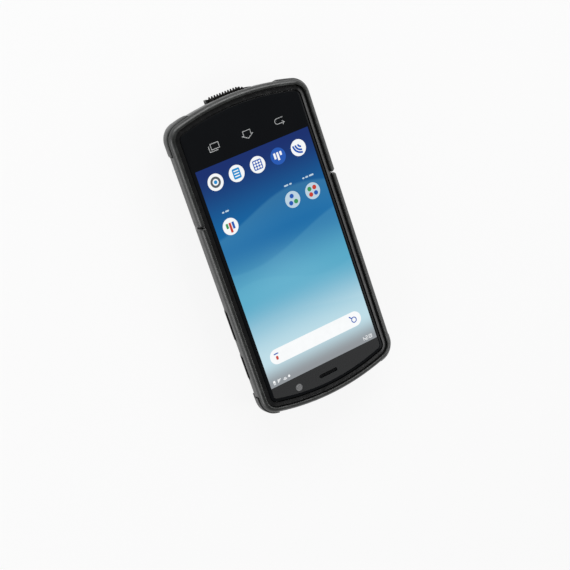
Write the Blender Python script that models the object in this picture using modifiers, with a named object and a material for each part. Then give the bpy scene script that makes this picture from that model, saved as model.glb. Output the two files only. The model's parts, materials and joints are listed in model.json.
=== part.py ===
"""Handheld data collector in a two-part protective case, lying on its back.

+X is the right side of the device, +Y its top end and +Z points out of the screen.
The origin is under the middle of the whole object, on the surface that it lies on.
"""

import math

import bmesh
import bpy

# Protective case
CASE_WIDTH = 0.0766
CASE_LENGTH = 0.1546
CASE_THICKNESS = 0.0195
CASE_WALL = 0.0022
END_RADIUS = 0.125
CORNER_RADIUS = 0.0085
CORNER_TIGHTENING = 0.25
CORNER_LEAST = 0.0012
BACK_RADIUS = 0.006
BELT_HEIGHT = 0.0136
SIDE_TAPER = math.radians(20)
END_TAPER = math.radians(8)
FRONT_ROUND_WIDTH = 0.0023
FRONT_ROUND_HEIGHT = 0.0026
LIP_WIDTH = 0.0003
LIP_HEIGHT = 0.001
SPLIT_TO_BOTTOM = 0.0529
SPLIT_GAP = 0.0008
SPLIT_CHAMFER = 0.0007

# Clearances
FIT_GAP = 0.0003
KEY_STROKE_SPARE = 0.0002

# Corner bumpers
BUMPER_PROUD = 0.0006
BUMPER_DEPTH = 0.0008
BUMPER_GROOVE = 0.0004
BUMPER_HEIGHT = 0.0105
BOTTOM_BUMPER_REACH = 0.0136
BOTTOM_BUMPER_RISE = 0.0174
TOP_BUMPER_REACH = 0.008
TOP_BUMPER_RISE = 0.0145

# Device inside the case
HOUSING_WALL = 0.0015
LEDGE_HEIGHT = 0.0007
BEZEL_CREST_IN = 0.0007
BEZEL_CREST_DROP = 0.0012
BEZEL_FACE_WIDTH = 0.0018
BEZEL_FACE_RISE = 0.0004
LEDGE_SIDE = 0.0011
LEDGE_END = 0.002
SEAL_HEIGHT = 0.0005
SEAL_WIDTH = 0.0007
GLASS_THICKNESS = 0.0011
GLASS_DROP = 0.0009
GLASS_EDGE = 0.0003
GASKET_HEIGHT = 0.0005

# Screen, with the borders between it and the case's outline
SIDE_BORDER = 0.00717
TOP_BORDER = 0.01626
BOTTOM_BORDER = 0.02765
PANEL_SIDE_MARGIN = 0.0006
PANEL_END_MARGIN = 0.0026
PANEL_THICKNESS = 0.0021
TOUCH_KEY_BELOW_DISPLAY = 0.00766
TOUCH_KEY_STRIP = (0.046, 0.007, 0.0004)
EARPIECE_ABOVE_DISPLAY = 0.00546
EARPIECE_SLOT = (0.0105, 0.0018)
EARPIECE_SIZE = (0.015, 0.0046, 0.0026)
MESH_THICKNESS = 0.0004
FRONT_CAMERA_X = 0.0172
FRONT_CAMERA_DIAMETER = 0.0048
FRONT_CAMERA_HEIGHT = 0.0036

# Chassis, boards and battery
FRAME_THICKNESS = 0.0009
RAIL_TO_SIDE = 0.0091
RAIL_THICKNESS = 0.0006
RAIL_HEIGHT = 0.0054
BOARD_SIDE_GAP = 0.0005
BOARD_THICKNESS = 0.001
SHIELD_HEIGHT = 0.0013
BOARD_TO_BOTTOM = 0.0098
BOARD_TO_TOP = 0.0243
PROCESSOR_SHIELD = (0.024, 0.03)
RADIO_SHIELD = (0.02, 0.024)
SHIELD_GAP = 0.0099
BATTERY_TO_SIDE = 0.0143
BATTERY_TO_BOTTOM = 0.0338
BATTERY_TO_TOP = 0.0568
DOOR_MARGIN = 0.001
FLEX_THICKNESS = 0.0005
FLEX_HEIGHT = 0.005
SWITCH_SIZE = (0.0012, 0.005, 0.003)

# Keys on the sides: length along Y, and middle measured from the top end
KEY_HEIGHT = 0.005
KEY_TO_BELT = 0.0026
KEY_PROUD = 0.0003
KEY_EDGE = 0.0005
KEY_ROUND_SHARE = 0.4
KEY_STEM_MARGIN = 0.0011
KEY_STROKE = 0.0005
KEY_GROOVE_HEIGHT = 0.0018
KEY_GROOVE_DEPTH = 0.001
SCAN_KEY_LENGTH = 0.0157
SCAN_KEY_TO_TOP = 0.052
UPPER_KEY_LENGTH = 0.0126
UPPER_KEY_TO_TOP = 0.0302
ROCKER_STEM_LENGTH = 0.0032
ROCKER_STEM_PITCH = 0.0076

# Cover over the charging port
COVER_WIDTH = 0.0163
COVER_HEIGHT = 0.0082
COVER_THICKNESS = 0.00175
COVER_AXIS_Z = 0.0055
RIB_COUNT = 11
RIB_DEPTH = 0.0011
RIB_GAP_SHARE = 0.66
RIB_SLANT = 0.43
RIB_PHASE = 0.4
TAB_LENGTH = 0.0045
TAB_THICKNESS = 0.0014
TAB_TIP_THICKNESS = 0.0007
TAB_MARGIN = 0.0008
SCOOP_WIDTH = 0.0262
SCOOP_OVER_COVER = 0.0015
SCOOP_UNDER_AXIS = 0.0019
COVER_PROUD = 0.0011
EAR_WIDTH = 0.0011
EAR_RADIUS = 0.0012
HINGE_PIN_RADIUS = 0.0004
HINGE_BORE_RADIUS = HINGE_PIN_RADIUS + FIT_GAP
PORT_HOLE = (0.014, 0.0056)
PLUG_SIZE = (0.0086, 0.0012, 0.0026)
USB_SIZE = (0.0092, 0.0084, 0.0032)

# Reader, cameras and sound
SCAN_ENGINE = (0.022, 0.014, 0.0082)
SCAN_WINDOW = (0.023, 0.0062)
SCAN_WINDOW_THICKNESS = 0.001
SCAN_HOLE_MARGIN = 0.0012
REAR_CAMERA_X = 0.015
REAR_CAMERA_TO_TOP = 0.0298
REAR_CAMERA_DIAMETER = 0.009
REAR_CAMERA_HEIGHT = 0.0062
FLASH_X = 0.0025
FLASH_DIAMETER = 0.0046
LENS_HOLE_MARGIN = 0.001
SPEAKER_SIZE = (0.018, 0.011, 0.0038)
SPEAKER_TO_BOTTOM = 0.0192
SLOT_COUNT = 5
SLOT_SIZE = (0.0014, 0.009)
SLOT_PITCH = 0.003
MICROPHONE_SIZE = (0.004, 0.003, 0.0012)
MICROPHONE_TO_SIDE = 0.0243
MOTOR_DIAMETER = 0.009
MOTOR_HEIGHT = 0.003
MOTOR_TO_SPEAKER = 0.002
MOTOR_TO_POST = 0.0006
CARD_SOCKET_SIZE = (0.014, 0.012, 0.0018)
CARD_SOCKET_TO_SIDE = 0.0248

# Screws that clamp the housing to the chassis
SCREW_TO_SIDE = 0.0138
SCREW_TO_TOP = 0.0178
SCREW_TO_BOTTOM = 0.0162
SCREW_HEAD_RADIUS = 0.0022
SCREW_HEAD_HEIGHT = 0.0015
SCREW_RADIUS = 0.0011
POST_RADIUS = 0.0034

# Smoothness of the round shapes, rounding of small edges, and depth of cuts
CORNER_STEPS = 7
END_STEPS = 12
BACK_STEPS = 5
FRONT_STEPS = 4
ROUND_SIDES = 24
KEY_CORNER_STEPS = 4
MODULE_EDGE = 0.0005
SHIELD_EDGE = 0.0003
SWITCH_EDGE = 0.0002
BATTERY_EDGE = 0.0012
CUT_MARGIN = 0.002
THROUGH_CUT = 0.014

# Places worked out from the sizes above
CASE_TOP = CASE_LENGTH / 2 + COVER_PROUD / 2
CASE_BOTTOM = CASE_TOP - CASE_LENGTH
SPLIT_Y = CASE_BOTTOM + SPLIT_TO_BOTTOM
DISPLAY_WIDTH = CASE_WIDTH - 2 * SIDE_BORDER
DISPLAY_TOP = CASE_TOP - TOP_BORDER
DISPLAY_BOTTOM = CASE_BOTTOM + BOTTOM_BORDER
DISPLAY_LENGTH = DISPLAY_TOP - DISPLAY_BOTTOM
DISPLAY_Y = (DISPLAY_TOP + DISPLAY_BOTTOM) / 2
EARPIECE_Y = DISPLAY_TOP + EARPIECE_ABOVE_DISPLAY
SCAN_KEY_Y = CASE_TOP - SCAN_KEY_TO_TOP
UPPER_KEY_Y = CASE_TOP - UPPER_KEY_TO_TOP
DEVICE_INSET = CASE_WALL + FIT_GAP
CAVITY_INSET = DEVICE_INSET + HOUSING_WALL
BEZEL_CREST_INSET = DEVICE_INSET + BEZEL_CREST_IN
BEZEL_CREST_Z = CASE_THICKNESS - BEZEL_CREST_DROP
BEZEL_FACE_INSET = BEZEL_CREST_INSET + BEZEL_FACE_WIDTH
BEZEL_FACE_Z = BEZEL_CREST_Z + BEZEL_FACE_RISE
GLASS_INSET = BEZEL_FACE_INSET + FIT_GAP
GLASS_TOP = CASE_THICKNESS - GLASS_DROP
GLASS_BOTTOM = GLASS_TOP - GLASS_THICKNESS
LEDGE_TOP = GLASS_BOTTOM - 2 * FIT_GAP - GASKET_HEIGHT
BEZEL_BASE = LEDGE_TOP - LEDGE_HEIGHT
HOUSING_TOP = BEZEL_BASE - 2 * FIT_GAP - SEAL_HEIGHT
LEDGE_SIDE_INSET = BEZEL_FACE_INSET + LEDGE_SIDE
LEDGE_END_INSET = BEZEL_FACE_INSET + LEDGE_END
PANEL_TOP = GLASS_BOTTOM - FIT_GAP
FRAME_TOP = PANEL_TOP - PANEL_THICKNESS - FIT_GAP
FRAME_BOTTOM = FRAME_TOP - FRAME_THICKNESS
BOARD_TOP = FRAME_BOTTOM - 2 * FIT_GAP - SHIELD_HEIGHT
BOARD_BOTTOM = BOARD_TOP - BOARD_THICKNESS
BOARD_BOTTOM_END = CASE_BOTTOM + BOARD_TO_BOTTOM
BOARD_TOP_END = CASE_TOP - BOARD_TO_TOP
FLOOR_TOP = CAVITY_INSET
HALF_WIDTH = CASE_WIDTH / 2
RAIL_X = HALF_WIDTH - RAIL_TO_SIDE
BOARD_WIDTH = 2 * (RAIL_X - BOARD_SIDE_GAP)
BATTERY_WIDTH = CASE_WIDTH - 2 * BATTERY_TO_SIDE
BATTERY_BOTTOM_END = CASE_BOTTOM + BATTERY_TO_BOTTOM
BATTERY_TOP_END = CASE_TOP - BATTERY_TO_TOP
BATTERY_LENGTH = BATTERY_TOP_END - BATTERY_BOTTOM_END
BATTERY_Y = (BATTERY_TOP_END + BATTERY_BOTTOM_END) / 2
KEY_MIDDLE_Z = BELT_HEIGHT - KEY_TO_BELT
BUMPER_TOP = CASE_THICKNESS - FRONT_ROUND_HEIGHT
REAR_CAMERA_Y = CASE_TOP - REAR_CAMERA_TO_TOP
SPEAKER_Y = CASE_BOTTOM + SPEAKER_TO_BOTTOM
MOTOR_X = -SPEAKER_SIZE[0] / 2 - MOTOR_TO_SPEAKER - MOTOR_DIAMETER / 2
CARD_SOCKET_X = HALF_WIDTH - CARD_SOCKET_TO_SIDE
MICROPHONE_X = HALF_WIDTH - MICROPHONE_TO_SIDE
SCREW_X = HALF_WIDTH - SCREW_TO_SIDE
SCREW_TOP_Y = CASE_TOP - SCREW_TO_TOP
SCREW_BOTTOM_Y = CASE_BOTTOM + SCREW_TO_BOTTOM
MOTOR_Y = SCREW_BOTTOM_Y + POST_RADIUS + MOTOR_TO_POST + MOTOR_DIAMETER / 2
SCAN_WINDOW_Z = FRAME_BOTTOM - FIT_GAP - SCAN_ENGINE[2] / 2
SCOOP_TOP = COVER_AXIS_Z + COVER_HEIGHT + SCOOP_OVER_COVER
SCOOP_BOTTOM = COVER_AXIS_Z - SCOOP_UNDER_AXIS
SWITCH_X = RAIL_X + RAIL_THICKNESS + FLEX_THICKNESS + 2 * FIT_GAP
STEM_END_X = SWITCH_X + SWITCH_SIZE[0] + KEY_STROKE + KEY_STROKE_SPARE
COVER_PLATE_Y = CASE_BOTTOM - COVER_PROUD + RIB_DEPTH
COVER_AXIS_Y = COVER_PLATE_Y + COVER_THICKNESS / 2
SCOOP_FLOOR_Y = COVER_PLATE_Y + COVER_THICKNESS + FIT_GAP
USB_Z = BOARD_BOTTOM - FIT_GAP - USB_SIZE[2] / 2

# Colours, roughness and metallic value of each material
FINISHES = {
    "case_polymer": ((0.055, 0.058, 0.054), 0.55, 0.0),
    "bumper_rubber": ((0.045, 0.048, 0.045), 0.7, 0.0),
    "key_rubber": ((0.012, 0.012, 0.012), 0.5, 0.0),
    "cover_rubber": ((0.016, 0.015, 0.013), 0.8, 0.0),
    "bezel_plastic": ((0.008, 0.008, 0.009), 0.35, 0.0),
    "glass_black": ((0.006, 0.006, 0.007), 0.08, 0.0),
    "housing_plastic": ((0.02, 0.02, 0.021), 0.5, 0.0),
    "seal_rubber": ((0.03, 0.03, 0.03), 0.8, 0.0),
    "display": ((0.03, 0.16, 0.42), 0.2, 0.0),
    "magnesium": ((0.5, 0.5, 0.5), 0.4, 1.0),
    "board_green": ((0.02, 0.11, 0.05), 0.5, 0.0),
    "shield_steel": ((0.62, 0.62, 0.62), 0.3, 1.0),
    "flex_amber": ((0.42, 0.2, 0.03), 0.4, 0.0),
    "battery_grey": ((0.09, 0.09, 0.1), 0.5, 0.0),
    "screw_steel": ((0.45, 0.45, 0.46), 0.3, 1.0),
    "lens_glass": ((0.03, 0.03, 0.04), 0.05, 0.0),
    "red_glass": ((0.12, 0.01, 0.012), 0.08, 0.0),
    "component_black": ((0.025, 0.025, 0.027), 0.5, 0.0),
}


def clear_scene():
    for old in list(bpy.data.objects):
        bpy.data.objects.remove(old)


def new_collection(name):
    made = bpy.data.collections.new(name)
    bpy.context.scene.collection.children.link(made)
    return made


def finish(name):
    """The Principled material of this name."""
    if name in bpy.data.materials:
        return bpy.data.materials[name]
    colour, roughness, metallic = FINISHES[name]
    made = bpy.data.materials.new(name)
    made.use_nodes = True
    shader = made.node_tree.nodes["Principled BSDF"]
    shader.inputs["Base Color"].default_value = (*colour, 1)
    shader.inputs["Roughness"].default_value = roughness
    shader.inputs["Metallic"].default_value = metallic
    return made


def object_of(name, bm, material=None, smooth=math.radians(35)):
    """An object made from the bmesh: a part if it has a material, else a cutter."""
    bmesh.ops.recalc_face_normals(bm, faces=bm.faces)
    mesh = bpy.data.meshes.new(name)
    bm.to_mesh(mesh)
    bm.free()
    made = bpy.data.objects.new(name, mesh)
    if material is None:
        made.hide_render = True
        made.display_type = "WIRE"
        cutters.objects.link(made)
        return made
    mesh.materials.append(finish(material))
    mesh.shade_smooth()
    mesh.set_sharp_from_angle(angle=smooth)
    parts.objects.link(made)
    return made


def boolean(piece, other, operation="DIFFERENCE"):
    step = piece.modifiers.new(operation.lower(), "BOOLEAN")
    step.operation = operation
    step.solver = "EXACT"
    step.object = other


def loft(name, rings, material=None, ring_shaped=False):
    """A skin through rings of equally many points, capped at both ends or closed round on itself."""
    bm = bmesh.new()
    rows = [[bm.verts.new(point) for point in ring] for ring in rings]
    pairs = list(zip(rows, rows[1:]))
    if ring_shaped:
        pairs.append((rows[-1], rows[0]))
    else:
        bm.faces.new(rows[0])
        bm.faces.new(rows[-1])
    for low, high in pairs:
        for here in range(len(low)):
            after = (here + 1) % len(low)
            bm.faces.new((low[here], low[after], high[after], high[here]))
    return object_of(name, bm, material)


def box(name, low, high, material=None, edge=0.0):
    """A block between two corners, with its edges rounded by a Bevel."""
    bm = bmesh.new()
    bmesh.ops.create_cube(bm, size=1)
    for vert in bm.verts:
        vert.co = [(a + b) / 2 + c * (b - a) for a, b, c in zip(low, high, vert.co)]
    made = object_of(name, bm, material)
    if edge:
        bevel = made.modifiers.new("bevel", "BEVEL")
        bevel.width = edge
        bevel.segments = 2
    return made


def block(name, middle, size, material=None, edge=0.0):
    low = [m - s / 2 for m, s in zip(middle, size)]
    high = [m + s / 2 for m, s in zip(middle, size)]
    return box(name, low, high, material, edge)


def round_ring(x, y, z, radius):
    turns = [2 * math.pi * step / ROUND_SIDES for step in range(ROUND_SIDES)]
    return [(x + radius * math.cos(turn), y + radius * math.sin(turn), z) for turn in turns]


def turned(name, x, y, steps, material=None):
    """A round piece standing along Z, from pairs of radius and height."""
    return loft(name, [round_ring(x, y, z, radius) for radius, z in steps], material)


def cross_rod(name, y, z, radius, x_low, x_high, material=None):
    """A round rod along X."""
    rim = round_ring(0, 0, 0, radius)
    rings = [[(x, y + across, z + up) for across, up, _ in rim] for x in (x_low, x_high)]
    return loft(name, rings, material)


def wall_inset(z, taper, depth):
    """How far a skin this deep in the hull's wall lies inside the case's outline at this height."""
    slope, rise = math.sin(taper), math.cos(taper)
    arc_middle = (BACK_RADIUS + (BELT_HEIGHT - BACK_RADIUS) * slope) / rise
    radius = BACK_RADIUS - depth
    if z <= BACK_RADIUS - radius * slope:
        return arc_middle - math.sqrt(max(radius**2 - (BACK_RADIUS - z) ** 2, 0))
    return max((depth + (BELT_HEIGHT - z) * slope) / rise, depth)


def end_drop(x):
    """How far the curved end falls away from its middle at this X."""
    return END_RADIUS - math.sqrt(END_RADIUS**2 - x**2)


def corner_points(half_width, end_y, end_radius, radius, facing):
    """One rounded corner at +X, from the side to the middle of the end that faces +Y or -Y."""
    middle_y = end_y - facing * end_radius
    reach = math.sqrt((end_radius - radius) ** 2 - (half_width - radius) ** 2)
    lean = math.atan2(reach, half_width - radius)
    turns = [lean * step / CORNER_STEPS for step in range(CORNER_STEPS + 1)]
    middle = (half_width - radius, middle_y + facing * reach)
    points = [(middle[0] + radius * math.cos(t), middle[1] + facing * radius * math.sin(t)) for t in turns]
    half_steps = END_STEPS // 2
    for step in range(1, half_steps + 1):
        turn = lean + (math.pi / 2 - lean) * step / half_steps
        points.append((end_radius * math.cos(turn), middle_y + facing * end_radius * math.sin(turn)))
    return points


def outline(side, end, z, depth=0.0):
    """The case's plan, drawn in by side and end, as a ring of points at this height."""
    radius = CORNER_RADIUS - depth - CORNER_TIGHTENING * (side - depth)
    radius = max(radius, CORNER_LEAST)
    half_width = HALF_WIDTH - side
    end_radius = END_RADIUS - end
    top = corner_points(half_width, CASE_TOP - end, end_radius, radius, 1)
    bottom = corner_points(half_width, CASE_BOTTOM + end, end_radius, radius, -1)
    right = bottom[::-1] + top
    left = [(-x, y) for x, y in right[-2:0:-1]]
    return [(x, y, z) for x, y in right + left]


def even_outline(inset, z):
    return outline(inset, inset, z, inset)


def hull_ring(z, depth):
    return outline(wall_inset(z, SIDE_TAPER, depth), wall_inset(z, END_TAPER, depth), z, depth)


def hull_heights(depth):
    """The heights where a skin this deep inside the case bends: round its back, then at its belt."""
    radius = BACK_RADIUS - depth
    turns = [(math.pi / 2 - SIDE_TAPER) * step / BACK_STEPS for step in range(BACK_STEPS + 1)]
    heights = [BACK_RADIUS - radius * math.cos(turn) for turn in turns]
    return heights + [BELT_HEIGHT + depth * math.tan(SIDE_TAPER / 2)]


def hull_rings(depth, top):
    """The rounded back and the walls of a skin this deep inside the case, up to this height."""
    heights = [z for z in hull_heights(depth) if z < top - FIT_GAP]
    return [hull_ring(z, depth) for z in heights + [top]]


def front_round():
    """Inset and height along the rounded front edge of the case, from its side to its crest."""
    turns = [math.pi / 2 * step / FRONT_STEPS for step in range(FRONT_STEPS + 1)]
    base = CASE_THICKNESS - FRONT_ROUND_HEIGHT
    return [(FRONT_ROUND_WIDTH * (1 - math.cos(t)), base + FRONT_ROUND_HEIGHT * math.sin(t)) for t in turns]


def case_skin(name, material):
    """The whole case as one cup: up the outside, over the lip and down the inside."""
    edge = front_round()
    rings = hull_rings(0, edge[0][1])
    rings += [even_outline(inset, z) for inset, z in edge[1:]]
    lip = FRONT_ROUND_WIDTH + LIP_WIDTH
    rings += [even_outline(lip, CASE_THICKNESS), even_outline(lip, CASE_THICKNESS - LIP_HEIGHT)]
    rings += hull_rings(CASE_WALL, CASE_THICKNESS - LIP_HEIGHT - LIP_WIDTH)[::-1]
    return loft(name, rings, material)


def section(y, depth):
    """The case's cross-section at this Y, this deep inside its surface."""
    right = [(HALF_WIDTH - wall_inset(z, SIDE_TAPER, depth), z) for z in hull_heights(depth)]
    for inset, z in front_round():
        shrink = 1 - depth / FRONT_ROUND_HEIGHT
        base = CASE_THICKNESS - FRONT_ROUND_HEIGHT
        right.append((HALF_WIDTH - depth - inset * shrink, base + (z - base) * shrink))
    left = [(-x, z) for x, z in right[::-1]]
    return [(x, y, z) for x, z in right + left]


def split_cutter():
    """A slab between the two halves of the case that leaves a chamfer on both outer edges."""
    reach = SPLIT_CHAMFER + SPLIT_GAP / 2
    span = HALF_WIDTH + CUT_MARGIN
    slab = box(
        "split_slab",
        (-span, SPLIT_Y - reach, -CUT_MARGIN),
        (span, SPLIT_Y + reach, CASE_THICKNESS + CUT_MARGIN),
    )
    waist = loft(
        "split_waist",
        [
            section(SPLIT_Y - reach - CUT_MARGIN, -CUT_MARGIN),
            section(SPLIT_Y - SPLIT_GAP / 2, SPLIT_CHAMFER),
            section(SPLIT_Y + SPLIT_GAP / 2, SPLIT_CHAMFER),
            section(SPLIT_Y + reach + CUT_MARGIN, -CUT_MARGIN),
        ],
    )
    boolean(slab, waist)
    return slab


def half_cutter(name, low_y, high_y):
    span = HALF_WIDTH + CUT_MARGIN
    return box(name, (-span, low_y, -CUT_MARGIN), (span, high_y, CASE_THICKNESS + CUT_MARGIN))


def bumper_band(name, outside, inside, low, high, material=None):
    """A closed band round the case between two heights, from outside the wall to inside it."""
    rings = [hull_ring(z, outside) for z in (low, BELT_HEIGHT, high)]
    rings += [hull_ring(z, inside) for z in (high, BELT_HEIGHT, low)]
    return loft(name, rings, material, ring_shaped=True)


def corner_region(name, side, end, grow):
    """The block of space at one corner that a bumper fills, grown by the groove around it."""
    reach = TOP_BUMPER_REACH if end > 0 else BOTTOM_BUMPER_REACH
    rise = TOP_BUMPER_RISE if end > 0 else BOTTOM_BUMPER_RISE
    end_y = CASE_TOP if end > 0 else CASE_BOTTOM
    xs = sorted((side * (HALF_WIDTH - reach - grow), side * (HALF_WIDTH + CUT_MARGIN)))
    ys = sorted((end_y - end * (rise + grow), end_y + end * CUT_MARGIN))
    return box(name, (xs[0], ys[0], 0), (xs[1], ys[1], CASE_THICKNESS))


def bumpers(upper, lower):
    low = BUMPER_TOP - BUMPER_HEIGHT
    for end, end_name, shell in ((1, "top", upper), (-1, "bottom", lower)):
        for side, side_name in ((1, "right"), (-1, "left")):
            name = f"bumper_{end_name}_{side_name}"
            pad = bumper_band(name, -BUMPER_PROUD, BUMPER_DEPTH, low, BUMPER_TOP, "bumper_rubber")
            boolean(pad, corner_region(name + "_region", side, end, 0), "INTERSECT")
            pocket = bumper_band(
                name + "_pocket",
                -BUMPER_PROUD - CUT_MARGIN,
                BUMPER_DEPTH + FIT_GAP,
                low - BUMPER_GROOVE,
                BUMPER_TOP + BUMPER_GROOVE,
            )
            boolean(pocket, corner_region(name + "_space", side, end, BUMPER_GROOVE), "INTERSECT")
            boolean(shell, pocket)


def case_shells():
    """Both halves of the protective case, with the holes that the device needs."""
    far = CASE_LENGTH
    split = split_cutter()
    upper = case_skin("case_upper_shell", "case_polymer")
    boolean(upper, half_cutter("below_split", -far, SPLIT_Y + SPLIT_GAP / 2))
    boolean(upper, split)
    lower = case_skin("case_lower_shell", "case_polymer")
    boolean(lower, half_cutter("above_split", SPLIT_Y - SPLIT_GAP / 2, far))
    boolean(lower, split)
    bumpers(upper, lower)
    return upper, lower


def front_bezel():
    """The black frame round the glass, with the ledge that the glass sits on."""
    side = DEVICE_INSET
    rings = [
        even_outline(side, BEZEL_BASE),
        even_outline(side, CASE_THICKNESS - LIP_HEIGHT - LIP_WIDTH - FIT_GAP),
        even_outline(BEZEL_CREST_INSET, BEZEL_CREST_Z - BEZEL_CREST_IN / 2),
        even_outline(BEZEL_CREST_INSET + BEZEL_CREST_IN / 2, BEZEL_CREST_Z),
        even_outline(BEZEL_FACE_INSET, BEZEL_FACE_Z),
        even_outline(BEZEL_FACE_INSET, LEDGE_TOP),
        outline(LEDGE_SIDE_INSET, LEDGE_END_INSET, LEDGE_TOP, LEDGE_SIDE_INSET),
        outline(LEDGE_SIDE_INSET, LEDGE_END_INSET, BEZEL_BASE, LEDGE_SIDE_INSET),
    ]
    return loft("front_bezel", rings, "bezel_plastic", ring_shaped=True)


def front_glass():
    rings = [
        even_outline(GLASS_INSET, GLASS_BOTTOM),
        even_outline(GLASS_INSET, GLASS_TOP - GLASS_EDGE),
        even_outline(GLASS_INSET + GLASS_EDGE, GLASS_TOP),
    ]
    glass = loft("front_glass", rings, "glass_black")
    boolean(glass, block("earpiece_slot", (0, EARPIECE_Y, GLASS_TOP), (*EARPIECE_SLOT, THROUGH_CUT)))
    mesh_size = [size - 2 * FIT_GAP for size in EARPIECE_SLOT]
    middle = (0, EARPIECE_Y, (GLASS_TOP + GLASS_BOTTOM) / 2)
    block("earpiece_mesh", middle, (*mesh_size, MESH_THICKNESS), "shield_steel")


def glass_gasket():
    low, high = LEDGE_TOP + FIT_GAP, GLASS_BOTTOM - FIT_GAP
    outer, inner = GLASS_INSET, (LEDGE_SIDE_INSET, LEDGE_END_INSET)
    rings = [
        even_outline(outer, low),
        even_outline(outer, high),
        outline(*inner, high, LEDGE_SIDE_INSET),
        outline(*inner, low, LEDGE_SIDE_INSET),
    ]
    loft("glass_gasket", rings, "seal_rubber", ring_shaped=True)


def screen_stack():
    """What lies just under the glass: the display and the strip that senses the touch keys."""
    width = DISPLAY_WIDTH + 2 * PANEL_SIDE_MARGIN
    length = DISPLAY_LENGTH + 2 * PANEL_END_MARGIN
    middle = (0, DISPLAY_Y, PANEL_TOP - PANEL_THICKNESS / 2)
    block("display_panel", middle, (width, length, PANEL_THICKNESS), "display", MODULE_EDGE)
    middle = (0, DISPLAY_BOTTOM - TOUCH_KEY_BELOW_DISPLAY, PANEL_TOP - TOUCH_KEY_STRIP[2] / 2)
    block("touch_key_flex", middle, TOUCH_KEY_STRIP, "flex_amber")


def rear_housing():
    """The tub that holds the works, with its screw posts."""
    rings = hull_rings(DEVICE_INSET, HOUSING_TOP) + hull_rings(CAVITY_INSET, HOUSING_TOP)[::-1]
    housing = loft("rear_housing", rings, "housing_plastic")
    for number, (x, y) in enumerate(screw_places(), 1):
        steps = [(POST_RADIUS, FLOOR_TOP - HOUSING_WALL / 2), (POST_RADIUS, post_top())]
        boolean(housing, turned(f"post_{number}", x, y, steps), "UNION")
    return housing


def housing_seal():
    low, high = HOUSING_TOP + FIT_GAP, BEZEL_BASE - FIT_GAP
    outer = DEVICE_INSET + (HOUSING_WALL - SEAL_WIDTH) / 2
    inner = outer + SEAL_WIDTH
    profile = [(outer, low), (outer, high), (inner, high), (inner, low)]
    loft("housing_seal", [even_outline(*point) for point in profile], "seal_rubber", ring_shaped=True)


def screw_places():
    return [(side * SCREW_X, y) for y in (SCREW_TOP_Y, SCREW_BOTTOM_Y) for side in (1, -1)]


def post_top():
    return BOARD_BOTTOM - FIT_GAP


def screws(housing, frame, board):
    head_low = DEVICE_INSET + FIT_GAP
    head_high = head_low + SCREW_HEAD_HEIGHT
    hole = SCREW_RADIUS + FIT_GAP
    sink = SCREW_HEAD_RADIUS + FIT_GAP
    for number, (x, y) in enumerate(screw_places(), 1):
        steps = [
            (SCREW_HEAD_RADIUS, head_low),
            (SCREW_HEAD_RADIUS, head_high),
            (SCREW_RADIUS, head_high),
            (SCREW_RADIUS, FRAME_TOP - FIT_GAP),
        ]
        turned(f"housing_screw_{number}", x, y, steps, "screw_steel")
        seat = head_high + FIT_GAP
        steps = [(sink, 0), (sink, seat), (hole, seat), (hole, CASE_THICKNESS)]
        passage = turned(f"screw_hole_{number}", x, y, steps)
        for piece in (housing, frame, board):
            boolean(piece, passage)


def mid_frame():
    """The metal plate that carries the display, with a rail down each side for the key switches."""
    inset = CAVITY_INSET + FIT_GAP
    rings = [even_outline(inset, FRAME_BOTTOM), even_outline(inset, FRAME_TOP)]
    frame = loft("mid_frame", rings, "magnesium")
    low_y, high_y = key_span()
    for side, name in ((1, "right"), (-1, "left")):
        xs = sorted((side * RAIL_X, side * (RAIL_X + RAIL_THICKNESS)))
        low = (xs[0], low_y, FRAME_BOTTOM - RAIL_HEIGHT)
        rail = box(f"rail_{name}", low, (xs[1], high_y, FRAME_TOP - FRAME_THICKNESS / 2))
        boolean(frame, rail, "UNION")
    room = [size + 2 * FIT_GAP for size in EARPIECE_SIZE[:2]]
    boolean(frame, block("earpiece_room", (0, EARPIECE_Y, FRAME_TOP), (*room, THROUGH_CUT)))
    room = FRONT_CAMERA_DIAMETER / 2 + FIT_GAP
    steps = [(room, FRAME_BOTTOM - CUT_MARGIN), (room, FRAME_TOP + CUT_MARGIN)]
    boolean(frame, turned("front_camera_room", FRONT_CAMERA_X, EARPIECE_Y, steps))
    return frame


def glass_side_parts():
    """The receiver and the camera that look out through the top of the glass."""
    middle = (0, EARPIECE_Y, PANEL_TOP - EARPIECE_SIZE[2] / 2)
    block("earpiece_receiver", middle, EARPIECE_SIZE, "component_black", MODULE_EDGE)
    radius = FRONT_CAMERA_DIAMETER / 2
    steps = [(radius, PANEL_TOP - FRONT_CAMERA_HEIGHT), (radius, PANEL_TOP)]
    turned("front_camera", FRONT_CAMERA_X, EARPIECE_Y, steps, "lens_glass")


def main_board():
    low = (-BOARD_WIDTH / 2, BOARD_BOTTOM_END, BOARD_BOTTOM)
    board = box("main_board", low, (BOARD_WIDTH / 2, BOARD_TOP_END, BOARD_TOP), "board_green")
    room = REAR_CAMERA_DIAMETER / 2 + FIT_GAP
    steps = [(room, BOARD_BOTTOM - CUT_MARGIN), (room, BOARD_TOP + CUT_MARGIN)]
    boolean(board, turned("rear_camera_room", REAR_CAMERA_X, REAR_CAMERA_Y, steps))
    low_z, high_z = BOARD_TOP + FIT_GAP, FRAME_BOTTOM - FIT_GAP
    radio_y = DISPLAY_Y - PROCESSOR_SHIELD[1] / 2 - SHIELD_GAP - RADIO_SHIELD[1] / 2
    for name, y, size in (
        ("processor_shield", DISPLAY_Y, PROCESSOR_SHIELD),
        ("radio_shield", radio_y, RADIO_SHIELD),
    ):
        middle = (0, y, (low_z + high_z) / 2)
        block(name, middle, (*size, high_z - low_z), "shield_steel", SHIELD_EDGE)
    return board


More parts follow.
